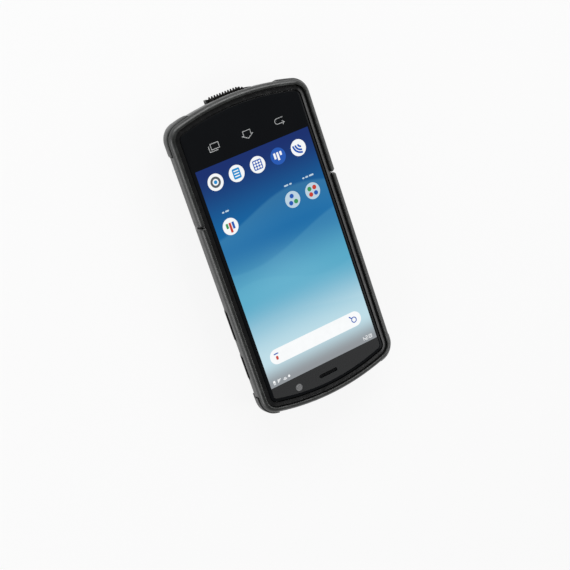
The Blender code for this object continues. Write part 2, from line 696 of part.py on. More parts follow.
def battery(housing):
    """The pack between the board and the door in the housing's back."""
    low_z, high_z = FLOOR_TOP + FIT_GAP, BOARD_BOTTOM - FIT_GAP
    middle = (0, BATTERY_Y, (low_z + high_z) / 2)
    size = (BATTERY_WIDTH, BATTERY_LENGTH, high_z - low_z)
    block("battery_pack", middle, size, "battery_grey", BATTERY_EDGE)
    door = (BATTERY_WIDTH - 2 * DOOR_MARGIN, BATTERY_LENGTH - 2 * DOOR_MARGIN)
    middle = (0, BATTERY_Y, (DEVICE_INSET + FLOOR_TOP) / 2)
    block("battery_door", middle, (*door, FLOOR_TOP - DEVICE_INSET), "housing_plastic")
    hole = [size + 2 * FIT_GAP for size in door]
    boolean(housing, block("battery_door_hole", middle, (*hole, THROUGH_CUT / 2)))


def key_span():
    """The stretch along Y that the side keys take up."""
    return SCAN_KEY_Y - SCAN_KEY_LENGTH / 2, UPPER_KEY_Y + UPPER_KEY_LENGTH / 2


def key_ring(x, y, length, height, z=KEY_MIDDLE_Z, lean=0.0):
    """A round-cornered ring for a key of this length and height; it leans along X with its height."""
    radius = min(length, height) * KEY_ROUND_SHARE
    points = []
    for quarter in range(4):
        middle_y = y + (length / 2 - radius) * (1 if quarter in (0, 3) else -1)
        middle_z = (height / 2 - radius) * (1 if quarter in (0, 1) else -1)
        for step in range(KEY_CORNER_STEPS + 1):
            turn = math.pi / 2 * (quarter + step / KEY_CORNER_STEPS)
            rise = middle_z + radius * math.sin(turn)
            points.append((x + lean * rise, middle_y + radius * math.cos(turn), z + rise))
    return points


def key_face_x():
    """Where a key's outer face lies: proud of the tapered wall at the key's middle height."""
    return HALF_WIDTH - wall_inset(KEY_MIDDLE_Z, SIDE_TAPER, 0) + KEY_PROUD


def key_cap_back_x():
    """Where a key's cap ends and its stem goes on into the device."""
    return HALF_WIDTH - wall_inset(KEY_MIDDLE_Z - KEY_HEIGHT / 2, SIDE_TAPER, CASE_WALL)


def key_cap(name, side, y, length, material):
    """A cap that leans with the wall, on a narrower stem that reaches in to its switch."""
    stem = (length - 2 * KEY_STEM_MARGIN, KEY_HEIGHT - 2 * KEY_STEM_MARGIN)
    face, back = key_face_x(), key_cap_back_x()
    lean = side * math.tan(SIDE_TAPER)
    rings = [
        key_ring(side * face, y, length - 2 * KEY_EDGE, KEY_HEIGHT - 2 * KEY_EDGE, lean=lean),
        key_ring(side * (face - KEY_EDGE), y, length, KEY_HEIGHT, lean=lean),
        key_ring(side * back, y, length, KEY_HEIGHT),
        key_ring(side * back, y, *stem),
        key_ring(side * STEM_END_X, y, *stem),
    ]
    return loft(name, rings, material)


def key_passages(name, side, y, length, shell, housing):
    """A key's hole and finger groove in the case, and its stem's hole in the housing."""
    gap = 2 * FIT_GAP
    inner = HALF_WIDTH - wall_inset(KEY_MIDDLE_Z - KEY_HEIGHT / 2, SIDE_TAPER, DEVICE_INSET) - FIT_GAP
    outer = HALF_WIDTH + CUT_MARGIN
    rings = [key_ring(side * x, y, length + gap, KEY_HEIGHT + gap) for x in (inner, outer)]
    cap_hole = loft(name + "_cap_hole", rings)
    boolean(shell, cap_hole)
    boolean(housing, cap_hole)
    key_top = KEY_MIDDLE_Z + KEY_HEIGHT / 2
    groove_xs = (HALF_WIDTH - KEY_GROOVE_DEPTH, outer)
    rings = [key_ring(side * x, y, length + gap, 2 * KEY_GROOVE_HEIGHT, key_top) for x in groove_xs]
    boolean(shell, loft(name + "_finger_groove", rings))
    stem = (length - 2 * KEY_STEM_MARGIN + gap, KEY_HEIGHT - 2 * KEY_STEM_MARGIN + gap)
    rings = [key_ring(side * x, y, *stem) for x in (SWITCH_X, outer)]
    boolean(housing, loft(name + "_stem_hole", rings))


def rocker_stems(rocker, side, y):
    """Cuts the middle out of a rocker's stem, so that each end presses its own switch."""
    reach = ROCKER_STEM_PITCH - ROCKER_STEM_LENGTH
    xs = sorted((side * (STEM_END_X - CUT_MARGIN), side * (key_cap_back_x() - FIT_GAP)))
    low = (xs[0], y - reach / 2, KEY_MIDDLE_Z - KEY_HEIGHT)
    boolean(rocker, box("rocker_stem_gap", low, (xs[1], y + reach / 2, KEY_MIDDLE_Z + KEY_HEIGHT)))


def key_switch(name, side, y):
    middle = (side * (SWITCH_X + SWITCH_SIZE[0] / 2), y, KEY_MIDDLE_Z)
    block(name, middle, SWITCH_SIZE, "component_black", SWITCH_EDGE)


def side_keys(upper, housing):
    """Two keys on each side, their switches, and the strip that joins each side's switches."""
    for side, name in ((1, "right"), (-1, "left")):
        scan = f"scan_key_{name}"
        key_cap(scan, side, SCAN_KEY_Y, SCAN_KEY_LENGTH, "key_rubber")
        key_passages(scan, side, SCAN_KEY_Y, SCAN_KEY_LENGTH, upper, housing)
        key_switch(f"scan_switch_{name}", side, SCAN_KEY_Y)
        other = "power_key" if side > 0 else "volume_rocker"
        made = key_cap(other, side, UPPER_KEY_Y, UPPER_KEY_LENGTH, "key_rubber")
        key_passages(other, side, UPPER_KEY_Y, UPPER_KEY_LENGTH, upper, housing)
        if side > 0:
            key_switch("power_switch", side, UPPER_KEY_Y)
        else:
            rocker_stems(made, side, UPPER_KEY_Y)
            key_switch("volume_up_switch", side, UPPER_KEY_Y + ROCKER_STEM_PITCH / 2)
            key_switch("volume_down_switch", side, UPPER_KEY_Y - ROCKER_STEM_PITCH / 2)
        low_y, high_y = key_span()
        flex_x = RAIL_X + RAIL_THICKNESS + FIT_GAP
        xs = sorted((side * flex_x, side * (flex_x + FLEX_THICKNESS)))
        low = (xs[0], low_y, KEY_MIDDLE_Z - FLEX_HEIGHT / 2)
        high = (xs[1], high_y, KEY_MIDDLE_Z + FLEX_HEIGHT / 2)
        box(f"key_flex_{name}", low, high, "flex_amber")


def rib_outline(z):
    """The ribbed plate's plan at this height: a flat inner face and a row of slanting ribs outside.

    The row runs past both ends of the cover, which are cut square afterwards.
    """
    pitch = COVER_WIDTH / RIB_COUNT
    inner_y = COVER_PLATE_Y + COVER_THICKNESS
    spare = math.ceil(RIB_SLANT * COVER_HEIGHT / pitch) + 1
    start = -COVER_WIDTH / 2 - (spare + RIB_PHASE) * pitch + RIB_SLANT * (z - COVER_AXIS_Z)
    count = RIB_COUNT + spare + 2
    points = [(start + count * pitch, inner_y), (start, inner_y)]
    for rib in range(count):
        left = start + rib * pitch
        gap = pitch * RIB_GAP_SHARE / 2
        points.append((left, COVER_PLATE_Y))
        points.append((left + gap, COVER_PLATE_Y - RIB_DEPTH))
        points.append((left + pitch - gap, COVER_PLATE_Y - RIB_DEPTH))
    points.append((start + count * pitch, COVER_PLATE_Y))
    return [(x, y, z) for x, y in points]


def lift_tab():
    """The plain tab at one end of the cover, thinner toward its tip."""
    low = COVER_AXIS_Z + EAR_RADIUS + TAB_MARGIN
    high = COVER_AXIS_Z + COVER_HEIGHT - TAB_MARGIN
    inner_y = COVER_PLATE_Y + TAB_THICKNESS
    root_x = -COVER_WIDTH / 2
    rings = []
    for x, thickness in ((root_x + TAB_MARGIN, TAB_THICKNESS), (root_x - TAB_LENGTH, TAB_TIP_THICKNESS)):
        outer_y = inner_y - thickness
        rings.append([(x, outer_y, low), (x, inner_y, low), (x, inner_y, high), (x, outer_y, high)])
    return loft("cover_lift_tab", rings)


def port_cover(lower, housing):
    """The ribbed flap over the charging port, its pin, and the scoop and ears that hold it."""
    scoop_low = (-SCOOP_WIDTH / 2, CASE_BOTTOM - CUT_MARGIN, SCOOP_BOTTOM)
    boolean(lower, box("cover_scoop", scoop_low, (SCOOP_WIDTH / 2, SCOOP_FLOOR_Y, SCOOP_TOP)))
    plate_low = COVER_AXIS_Z + HINGE_BORE_RADIUS
    rings = [rib_outline(plate_low), rib_outline(COVER_AXIS_Z + COVER_HEIGHT)]
    cover = loft("port_cover", rings, "cover_rubber")
    half = COVER_WIDTH / 2
    low = (-half, COVER_PLATE_Y - RIB_DEPTH - CUT_MARGIN, plate_low - CUT_MARGIN)
    high = (half, COVER_PLATE_Y + COVER_THICKNESS + CUT_MARGIN, COVER_AXIS_Z + COVER_HEIGHT + CUT_MARGIN)
    boolean(cover, box("cover_width", low, high), "INTERSECT")
    barrel = cross_rod("cover_barrel", COVER_AXIS_Y, COVER_AXIS_Z, COVER_THICKNESS / 2, -half, half)
    boolean(cover, barrel, "UNION")
    boolean(cover, lift_tab(), "UNION")
    plug_y = COVER_PLATE_Y + COVER_THICKNESS + PLUG_SIZE[1] / 2
    plug_size = (PLUG_SIZE[0], PLUG_SIZE[1] + FIT_GAP, PLUG_SIZE[2])
    boolean(cover, block("cover_plug", (0, plug_y - FIT_GAP / 2, USB_Z), plug_size), "UNION")
    ear_in = half + FIT_GAP
    ear_out = ear_in + EAR_WIDTH
    bore_end = ear_out + CUT_MARGIN
    bore = cross_rod("hinge_bore", COVER_AXIS_Y, COVER_AXIS_Z, HINGE_BORE_RADIUS, -bore_end, bore_end)
    boolean(cover, bore)
    for side, name in ((1, "right"), (-1, "left")):
        xs = sorted((side * ear_in, side * ear_out))
        ear = box(
            f"hinge_ear_{name}",
            (xs[0], COVER_AXIS_Y - EAR_RADIUS, COVER_AXIS_Z - EAR_RADIUS),
            (xs[1], SCOOP_FLOOR_Y + CASE_WALL / 4, COVER_AXIS_Z + EAR_RADIUS),
        )
        boolean(lower, ear, "UNION")
    boolean(lower, bore)
    pin = (HINGE_PIN_RADIUS, -ear_out, ear_out)
    cross_rod("port_cover_pin", COVER_AXIS_Y, COVER_AXIS_Z, *pin, "screw_steel")
    hole_y = CASE_BOTTOM + CASE_WALL
    hole = block("port_hole", (0, hole_y, USB_Z), (PORT_HOLE[0], THROUGH_CUT, PORT_HOLE[1]))
    boolean(lower, hole)
    mouth_y = CASE_BOTTOM + wall_inset(USB_Z, END_TAPER, DEVICE_INSET) + FIT_GAP
    block("usb_connector", (0, mouth_y + USB_SIZE[1] / 2, USB_Z), USB_SIZE, "shield_steel", MODULE_EDGE)
    room = (USB_SIZE[0] + 2 * FIT_GAP, THROUGH_CUT, USB_SIZE[2] + 2 * FIT_GAP)
    boolean(housing, block("usb_hole", (0, mouth_y, USB_Z), room))


def reader(upper, housing):
    """The scan engine behind its window in the top end."""
    face_y = CASE_TOP - wall_inset(SCAN_WINDOW_Z, END_TAPER, DEVICE_INSET) - FIT_GAP
    middle = (0, face_y - SCAN_WINDOW_THICKNESS / 2, SCAN_WINDOW_Z)
    block("scan_window", middle, (SCAN_WINDOW[0], SCAN_WINDOW_THICKNESS, SCAN_WINDOW[1]), "red_glass")
    gap = 2 * FIT_GAP
    hole = (SCAN_WINDOW[0] + gap, THROUGH_CUT, SCAN_WINDOW[1] + gap)
    boolean(housing, block("scan_window_hole", middle, hole))
    margin = 2 * SCAN_HOLE_MARGIN
    hole = (SCAN_WINDOW[0] + margin, THROUGH_CUT, SCAN_WINDOW[1] + margin)
    boolean(upper, block("case_scan_hole", (0, CASE_TOP, SCAN_WINDOW_Z), hole))
    wall_y = CASE_TOP - wall_inset(SCAN_WINDOW_Z - SCAN_ENGINE[2] / 2, END_TAPER, CAVITY_INSET)
    engine_y = wall_y - end_drop(SCAN_ENGINE[0] / 2) - FIT_GAP - SCAN_ENGINE[1] / 2
    block("scan_engine", (0, engine_y, SCAN_WINDOW_Z), SCAN_ENGINE, "component_black", MODULE_EDGE)


def lens_window(name, x, radius, upper, housing, material):
    """A round window in the housing's back, seen through a wider hole in the case."""
    low = DEVICE_INSET + FIT_GAP
    turned(name, x, REAR_CAMERA_Y, [(radius, low), (radius, FLOOR_TOP)], material)
    hole = radius + FIT_GAP
    steps = [(hole, low - CUT_MARGIN), (hole, FLOOR_TOP + CUT_MARGIN)]
    boolean(housing, turned(name + "_hole", x, REAR_CAMERA_Y, steps))
    wide = radius + LENS_HOLE_MARGIN
    steps = [(wide + LENS_HOLE_MARGIN, -FIT_GAP), (wide, CASE_WALL + CUT_MARGIN)]
    boolean(upper, turned(name + "_case_hole", x, REAR_CAMERA_Y, steps))


def rear_camera(upper, housing):
    radius = REAR_CAMERA_DIAMETER / 2
    low = FLOOR_TOP + FIT_GAP
    steps = [(radius, low), (radius, low + REAR_CAMERA_HEIGHT)]
    turned("rear_camera", REAR_CAMERA_X, REAR_CAMERA_Y, steps, "component_black")
    lens_window("rear_camera_window", REAR_CAMERA_X, radius, upper, housing, "lens_glass")
    lens_window("flash_lens", FLASH_X, FLASH_DIAMETER / 2, upper, housing, "lens_glass")


def sound_and_small_parts(lower, housing):
    """What lies on the floor of the housing near the bottom end."""
    low = FLOOR_TOP + FIT_GAP
    middle = (0, SPEAKER_Y, low + SPEAKER_SIZE[2] / 2)
    block("loudspeaker", middle, SPEAKER_SIZE, "component_black", MODULE_EDGE)
    for slot in range(SLOT_COUNT):
        x = (slot - (SLOT_COUNT - 1) / 2) * SLOT_PITCH
        cut = block(f"speaker_slot_{slot}", (x, SPEAKER_Y, 0), (*SLOT_SIZE, 2 * FLOOR_TOP + CUT_MARGIN))
        boolean(lower, cut)
        boolean(housing, cut)
    steps = [(MOTOR_DIAMETER / 2, low), (MOTOR_DIAMETER / 2, low + MOTOR_HEIGHT)]
    turned("vibration_motor", MOTOR_X, MOTOR_Y, steps, "shield_steel")
    under_board = BOARD_BOTTOM - FIT_GAP
    middle = (CARD_SOCKET_X, SPEAKER_Y, under_board - CARD_SOCKET_SIZE[2] / 2)
    block("card_socket", middle, CARD_SOCKET_SIZE, "shield_steel", SWITCH_EDGE)
    middle_y = BOARD_BOTTOM_END + MICROPHONE_SIZE[1] / 2
    middle = (MICROPHONE_X, middle_y, under_board - MICROPHONE_SIZE[2] / 2)
    block("microphone", middle, MICROPHONE_SIZE, "shield_steel")


def build():
    upper, lower = case_shells()
    front_bezel()
    front_glass()
    glass_gasket()
    screen_stack()
    housing = rear_housing()
    housing_seal()
    frame = mid_frame()
    glass_side_parts()
    board = main_board()
    battery(housing)
    screws(housing, frame, board)
    side_keys(upper, housing)
    port_cover(lower, housing)
    reader(upper, housing)
    rear_camera(upper, housing)
    sound_and_small_parts(lower, housing)


clear_scene()
parts = new_collection("data_collector")
cutters = new_collection("cutters")
build()
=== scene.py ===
"""The looks of the data collector: smooth skins, finishes, the lit screen, studio and camera."""

import json
import math

import bmesh
import bpy
from mathutils import Matrix, Vector

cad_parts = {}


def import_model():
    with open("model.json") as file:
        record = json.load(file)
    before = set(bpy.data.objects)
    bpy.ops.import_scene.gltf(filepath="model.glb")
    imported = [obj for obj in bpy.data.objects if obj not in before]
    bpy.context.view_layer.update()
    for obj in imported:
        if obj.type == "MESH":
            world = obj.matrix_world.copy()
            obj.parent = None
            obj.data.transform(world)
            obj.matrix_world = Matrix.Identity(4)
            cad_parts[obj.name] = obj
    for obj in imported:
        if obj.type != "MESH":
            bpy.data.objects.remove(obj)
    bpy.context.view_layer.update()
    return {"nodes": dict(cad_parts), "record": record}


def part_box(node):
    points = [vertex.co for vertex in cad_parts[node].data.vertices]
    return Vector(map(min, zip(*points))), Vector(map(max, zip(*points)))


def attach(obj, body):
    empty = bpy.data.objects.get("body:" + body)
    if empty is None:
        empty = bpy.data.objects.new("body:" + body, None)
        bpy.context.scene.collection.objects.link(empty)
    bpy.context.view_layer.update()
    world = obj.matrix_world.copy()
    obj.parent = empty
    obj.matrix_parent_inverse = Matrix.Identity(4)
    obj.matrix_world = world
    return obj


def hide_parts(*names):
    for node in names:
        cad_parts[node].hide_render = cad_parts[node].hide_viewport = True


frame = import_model()

MM = 0.001

# Shape of the case, shared with the frame's solids
HALF_WIDTH = 0.0383
CASE_TOP = 0.07785
CASE_BOTTOM = -0.07675
CASE_THICKNESS = 0.0195
CASE_WALL = 0.0022
END_RADIUS = 0.125
CORNER_RADIUS = 0.0085
CORNER_TIGHTENING = 0.25
CORNER_LEAST = 0.0012
BACK_RADIUS = 0.006
BELT_HEIGHT = 0.0136
SIDE_TAPER = math.radians(20)
END_TAPER = math.radians(8)
FRONT_ROUND_WIDTH = 0.0023
FRONT_ROUND_HEIGHT = 0.0026
LIP_WIDTH = 0.0003
LIP_HEIGHT = 0.001
SPLIT_Y = -0.02385
SPLIT_GAP = 0.0008
SPLIT_CHAMFER = 0.0007
FIT_GAP = 0.0003
CUT_MARGIN = 0.002
THROUGH_CUT = 0.014
DEVICE_INSET = CASE_WALL + FIT_GAP

# Corner bumpers
BUMPER_PROUD = 0.0006
BUMPER_DEPTH = 0.0008
BUMPER_GROOVE = 0.0004
BUMPER_LOW = 0.0064
BUMPER_HIGH = 0.0169
BUMPER_EDGE = 0.00055
BUMPER_REACH = {1: 0.008, -1: 0.0136}
BUMPER_RISE = {1: 0.0145, -1: 0.0174}

# Side keys
KEY_HEIGHT = 0.005
KEY_Z = 0.011
KEY_PROUD = 0.0003
KEY_EDGE = 0.00055
KEY_STEM_MARGIN = 0.0011
KEY_ROUND_SHARE = 0.4
KEY_LENGTHS = {"scan": 0.0157, "upper": 0.0126}
KEY_MIDDLES = {"scan": 0.02585, "upper": 0.04765}
KEY_HOLE_FLARE = 0.0004
KEY_GROOVE_HEIGHT = 0.0018
KEY_GROOVE_DEPTH = 0.001
KEY_LEAN = math.tan(SIDE_TAPER)
ROCKER_STEM_GAP = 0.0044

# Bezel and glass
BEZEL_CREST_INSET = 0.0032
BEZEL_CREST_Z = 0.0183
BEZEL_FACE_INSET = 0.005
BEZEL_FACE_Z = 0.0187
GLASS_INSET = 0.0053
GLASS_TOP = 0.0186
GLASS_BOTTOM = 0.0175
GLASS_EDGE = 0.0022
GLASS_EDGE_DROP = 0.0005
LEDGE_TOP = 0.0164
EARPIECE_SLOT = (0.0105, 0.0018)
EARPIECE_Y = 0.06705
MESH_PITCH = 0.00044
MESH_BAR = 0.00018

# Lit screen
DISPLAY_WIDTH = 0.06226
DISPLAY_LENGTH = 0.11069
DISPLAY_Y = 0.006245
FILM = 0.00002
FILM_STEP = FILM / 100
SCREEN_SHINE = 0.085
SCREEN_ROUGHNESS = 0.1

# Signs on the screen and the glass, in millimetres from the middle of the screen
ICON_RADIUS = 4.05
DOCK_Y = -47.6
ARCS_X = -23.0
CHART_X = -11.5
DOTS_X = 0.0
PAGE_X = 11.6
RING_X = 23.1
FOLDER_Y = -25.6
FOLDER_XS = (-23.0, -11.5)
BARS_X = 23.3
SPOT_RADIUS = 1.1
SPOT_STEP = 1.4
BAR_ROUND = 0.2
LABEL_DROP = 7.4
LABEL_HEIGHT = 0.8
LABEL_GAP = 0.5
LABELS = ((FOLDER_XS[0], (2.6, 1.6, 1.2)), (FOLDER_XS[1], (1.4, 2.4)), (BARS_X, (2.0, 1.2)))
SEARCH_BAR = (0.15, 41.75, 52.9, 7.5)
SEARCH_SIGN = (-22.2, 42.0)
VOICE_SIGN = (22.9, 42.4)
STATUS_Y = 53.2
CLOCK = ((-29.2, "1"), (-27.8, "0"), (-25.8, "2"), (-24.4, "4"))
COLON_X = -26.8
DIGIT_WIDTH = 0.9
DIGIT_HEIGHT = 1.7
DIGIT_STROKE = 0.24
TOUCH_X = 18.0
TOUCH_Y = -63.0
TOUCH_STROKE = 0.36
LENS_X = 17.2
LENS_RADIUS = 0.95
LENS_RING_RADIUS = 1.75

# Port cover and its scoop
COVER_WIDTH = 0.0163
COVER_LOW = 0.0062
COVER_HIGH = 0.0137
COVER_THICKNESS = 0.00175
COVER_PLATE_Y = -0.07675
COVER_AXIS_Y = COVER_PLATE_Y + COVER_THICKNESS / 2
COVER_AXIS_Z = 0.0055
COVER_END_CUT = 0.0006
RIB_COUNT = 11
RIB_DEPTH = 0.0011
RIB_GAP_SHARE = 0.66
RIB_SLANT = 0.43
RIB_PHASE = 0.4
RIB_SPARE = 4
RIB_SPARE_END = 2
RIB_STEPS = 8
# Up a rib's rounded top: depth below the top and draft, as shares of the rib's depth
RIB_TOP = ((1, 0), (1 / 3, 1 / 4), (0, 1 / 2))
HINGE_BORE_RADIUS = 0.0007
TAB_LENGTH = 0.0045
TAB_THICKNESS = 0.0014
TAB_TIP_THICKNESS = 0.0007
TAB_MARGIN = 0.0008
TAB_EDGE = 0.0002
SCOOP_WIDTH = 0.0262
SCOOP_BOTTOM = 0.0036
SCOOP_TOP = 0.0152
SCOOP_FLOOR_Y = COVER_PLATE_Y + COVER_THICKNESS + FIT_GAP
EAR_WIDTH = 0.0011
EAR_RADIUS = 0.0012
EAR_ROOT = CASE_WALL / 4
PORT_HOLE = (0.014, 0.0056)
PLUG_SIZE = (0.0086, 0.0012, 0.0026)
PORT_Z = 0.0091

# Holes in the back and the top end
SCAN_HOLE = (0.0254, 0.0086)
SCAN_Z = 0.0095
CAMERA_Y = 0.04805
CAMERA_HOLES = ((0.015, 0.0055), (0.0025, 0.0033))
LENS_FLARE = 0.001
SPEAKER_Y = -0.05755
SLOT_COUNT = 5
SLOT_SIZE = (0.0014, 0.009)
SLOT_PITCH = 0.003

# Smoothness
CORNER_STEPS = 20
END_STEPS = 32
BACK_STEPS = 10
FRONT_STEPS = 10
ROUND_SIDES = 48
SHARP_ANGLE = math.radians(32)
CASE_SHARP_ANGLE = math.radians(16)

# Camera: the photograph's place, aim, upward direction and lens, for a square image
CAMERA_PLACE = (0.2599, -0.1387, 0.6014)
CAMERA_AIM = (0.0065, 0.0176, 0.018)
CAMERA_UP = (-0.3877, -0.9185, -0.0777)
CAMERA_LENS = 86.29
SENSOR_WIDTH = 36

# Scale of the grains and stains in the materials, in repeats per metre
TONE_SCALE = 90.0
SHEEN_SCALE = 400.0
CASE_GRAIN = 2600.0
BEZEL_GRAIN = 5000.0
METAL_SCALE = 900.0
SMEAR_SCALE = 45.0
WEAR_SCALE = 160.0

# Unevenness of the materials, as shares of their colour or steps of their roughness
TONE_SPREAD = 0.18
SHEEN_SPREAD = 0.06
GRAIN_STRENGTH = 0.5
WEAR_SHARE = 1.9
WEAR_EDGES = (0.5, 0.66)
METAL_SHADE = 0.85
METAL_SPREAD = 0.08
METAL_LINES = (1.0, 12.0, 1.0)
EVEN_GRAIN = (1.0, 1.0, 1.0)
SMEAR_STRETCH = (1.0, 0.35, 1.0)
SMEAR_SPREAD = (0.5, 1.8)
SMEAR_SHARE = 1.4
PANEL_SHADE = 0.97

# Plastics and rubbers: colour, roughness, grain, its depth, gloss, and the heights of rubbed edges
MOULDED = {
    "case_polymer": ((0.019, 0.0205, 0.0195), 0.33, CASE_GRAIN, 0.00003, 0.72, (0.0172, 0.0192)),
    "bumper_rubber": ((0.017, 0.0185, 0.018), 0.42, CASE_GRAIN, 0.00004, 0.65, (0.0148, 0.0166)),
    "key_rubber": ((0.007, 0.0073, 0.0072), 0.34, CASE_GRAIN, 0.00003, 0.45),
    "cover_rubber": ((0.005, 0.0045, 0.004), 0.7, CASE_GRAIN, 0.00005, 0.12),
    "bezel_plastic": ((0.0055, 0.0058, 0.0061), 0.24, BEZEL_GRAIN, 0.00001, 0.75),
    "housing_plastic": ((0.02, 0.02, 0.021), 0.5, CASE_GRAIN, 0.00004),
    "seal_rubber": ((0.03, 0.03, 0.03), 0.75, CASE_GRAIN, 0.00003),
    "display": ((0.03, 0.16, 0.42), 0.2, BEZEL_GRAIN, 0.00001),
    "board_green": ((0.02, 0.11, 0.05), 0.4, BEZEL_GRAIN, 0.00003),
    "flex_amber": ((0.42, 0.2, 0.03), 0.35, BEZEL_GRAIN, 0.00002),
    "battery_grey": ((0.09, 0.09, 0.1), 0.5, CASE_GRAIN, 0.00003),
    "component_black": ((0.025, 0.025, 0.027), 0.5, CASE_GRAIN, 0.00003),
    "sign_print": ((0.42, 0.43, 0.43), 0.4, BEZEL_GRAIN, 0.00001),
}

# Metals: colour, roughness, and the stretch of their fine lines
METALS = {
    "magnesium": ((0.5, 0.5, 0.5, 1.0), 0.42, EVEN_GRAIN),
    "shield_steel": ((0.62, 0.62, 0.62, 1.0), 0.32),
    "screw_steel": ((0.45, 0.45, 0.46, 1.0), 0.3),
    "black_steel": ((0.02, 0.02, 0.021, 1.0), 0.5),
    "mesh_black": ((0.016, 0.016, 0.017, 1.0), 0.5),
}

# Glass: colour of the ground under it, roughness and gloss
POLISHED = {
    "glass_black": ((0.0058, 0.0064, 0.0074, 1.0), 0.06, SCREEN_SHINE),
    "lens_glass": ((0.02, 0.02, 0.03, 1.0), 0.05),
    "red_glass": ((0.1, 0.008, 0.01, 1.0), 0.08),
    "lens_ring": ((0.03, 0.032, 0.035, 1.0), 0.12),
    "lens": ((0.004, 0.005, 0.008, 1.0), 0.04),
}

# Lit signs: their colour on the screen, 0 to 255
LIT = {
    "sign_white": (247, 249, 250),
    "sign_pale": (190, 212, 226),
    "sign_blue": (44, 92, 180),
    "sign_bright": (38, 142, 206),
    "sign_grey": (84, 92, 98),
    "sign_red": (198, 66, 54),
    "sign_green": (62, 150, 92),
}

# Colours up the lit screen, as a share of its length from its foot
WALLPAPER_STOPS = (
    (0.01, (30, 50, 110)),
    (0.35, (25, 105, 165)),
    (0.6, (90, 170, 200)),
    (0.88, (190, 220, 230)),
    (0.99, (140, 145, 150)),
)
# Rolling bands across it: share of the length, swing, waves, phase and tint
WALLPAPER_BANDS = (
    (0.26, 0.05, 4.0, 0.4, 0.16),
    (0.42, 0.06, 3.2, 2.1, 0.16),
    (0.58, 0.05, 4.6, 3.9, 0.14),
    (0.76, 0.04, 3.6, 5.2, 0.1),
)
BAND_SOFTNESS = 0.006
BAND_FADE = 0.2
BAND_COLOUR = (0.16, 0.5, 0.66, 1.0)

# Studio: fill from all round, floor, and soft lamps as name, place, size and power
WORLD_LIGHT = 0.45
WORLD_SEEN = 0.6
ZENITH_SHARE = 0.15
ZENITH_HEIGHTS = (0.2, 0.75)
FLOOR_SPAN = 8.0
FLOOR_COLOUR = (0.86, 0.86, 0.86, 1.0)
FLOOR_GLOW = 0.88
LAMPS = (
    ("side", (0.82, 0.12, 0.36), (1.1, 0.46), 4.2),
    ("foot", (-0.15, -0.76, 0.52), (1.2, 0.5), 6.6),
    ("far", (-0.78, 0.24, 0.53), (0.9, 0.45), 1.9),
    ("head", (-0.4, 0.4, 0.9), (0.27, 0.27), 0.9),
)

# Mesh helpers


def object_of(name, bm, sharp=SHARP_ANGLE):
    bmesh.ops.recalc_face_normals(bm, faces=bm.faces)
    mesh = bpy.data.meshes.new(name)
    bm.to_mesh(mesh)
    bm.free()
    made = bpy.data.objects.new(name, mesh)
    bpy.context.scene.collection.objects.link(made)
    smooth(made, sharp)
    return made


def smooth(piece, sharp=SHARP_ANGLE):
    piece.data.shade_smooth()
    piece.data.set_sharp_from_angle(angle=sharp)


def loft(name, rings, ring_shaped=False):
    """A skin through rings of equally many points, capped at both ends or closed round on itself."""
    bm = bmesh.new()
    rows = [[bm.verts.new(point) for point in ring] for ring in rings]
    pairs = list(zip(rows, rows[1:]))
    if ring_shaped:
        pairs.append((rows[-1], rows[0]))
    else:
        bm.faces.new(rows[0])
        bm.faces.new(rows[-1])
    for low, high in pairs:
        for here in range(len(low)):
            after = (here + 1) % len(low)
            bm.faces.new((low[here], low[after], high[after], high[here]))
    return object_of(name, bm)


def rectangle(low, high):
    return [(low[0], low[1]), (high[0], low[1]), (high[0], high[1]), (low[0], high[1])]


def prism(name, plan, heights):
    """A plan drawn straight up between two heights."""
    return loft(name, [[(x, y, z) for x, y in plan] for z in heights])


def box(name, low, high):
    return prism(name, rectangle(low, high), (low[2], high[2]))


def block(name, middle, size):
    low = [m - s / 2 for m, s in zip(middle, size)]
    high = [m + s / 2 for m, s in zip(middle, size)]
    return box(name, low, high)


def circle(radius, sides=ROUND_SIDES):
    turns = [2 * math.pi * step / sides for step in range(sides)]
    return [(radius * math.cos(turn), radius * math.sin(turn)) for turn in turns]


def quarter_turn():
    """Shares of a rounded edge's width and height, from its side up to its crest."""
    turns = [math.pi / 2 * step / FRONT_STEPS for step in range(FRONT_STEPS + 1)]
    return [(1 - math.cos(turn), math.sin(turn)) for turn in turns]


def turned(name, x, y, steps):
    """A round piece standing along Z, from pairs of radius and height."""
    return loft(name, [[(x + px, y + py, z) for px, py in circle(radius)] for radius, z in steps])


def cross_rod(name, y, z, radius, x_low, x_high):
    return loft(name, [[(x, y + px, z + py) for px, py in circle(radius)] for x in (x_low, x_high)])


def carve(piece, cuts, operation="DIFFERENCE"):
    """Cuts the solids out of the piece, or joins or keeps them, and then removes them."""
    for cut in cuts:
        step = piece.modifiers.new("carve", "BOOLEAN")
        step.operation = operation
        step.solver = "MANIFOLD"
        step.object = cut
    settle(piece)
    for cut in cuts:
        bpy.data.objects.remove(cut)


def settle(piece):
    """Makes the piece's modifiers part of its mesh."""
    bpy.context.view_layer.update()
    graph = bpy.context.evaluated_depsgraph_get()
    mesh = bpy.data.meshes.new_from_object(piece.evaluated_get(graph))
    piece.modifiers.clear()
    piece.data = mesh
    smooth(piece)


def soften(piece, width, segments=3, angle=math.radians(40)):
    """Rounds the piece's sharp edges."""
    step = piece.modifiers.new("soften", "BEVEL")
    step.width = width
    step.segments = segments
    step.limit_method = "ANGLE"
    step.angle_limit = angle
    settle(piece)


def even_normals(piece):
    step = piece.modifiers.new("normals", "WEIGHTED_NORMAL")
    step.keep_sharp = True


def dress(piece, body, material, slot, *nodes):
    """Gives the piece its material and body, and puts it in the place of CAD nodes. The slot is not used.
    """
    piece.data.materials.clear()
    piece.data.materials.append(material)
    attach(piece, body)
    if nodes:
        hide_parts(*nodes)


# Outline of the case


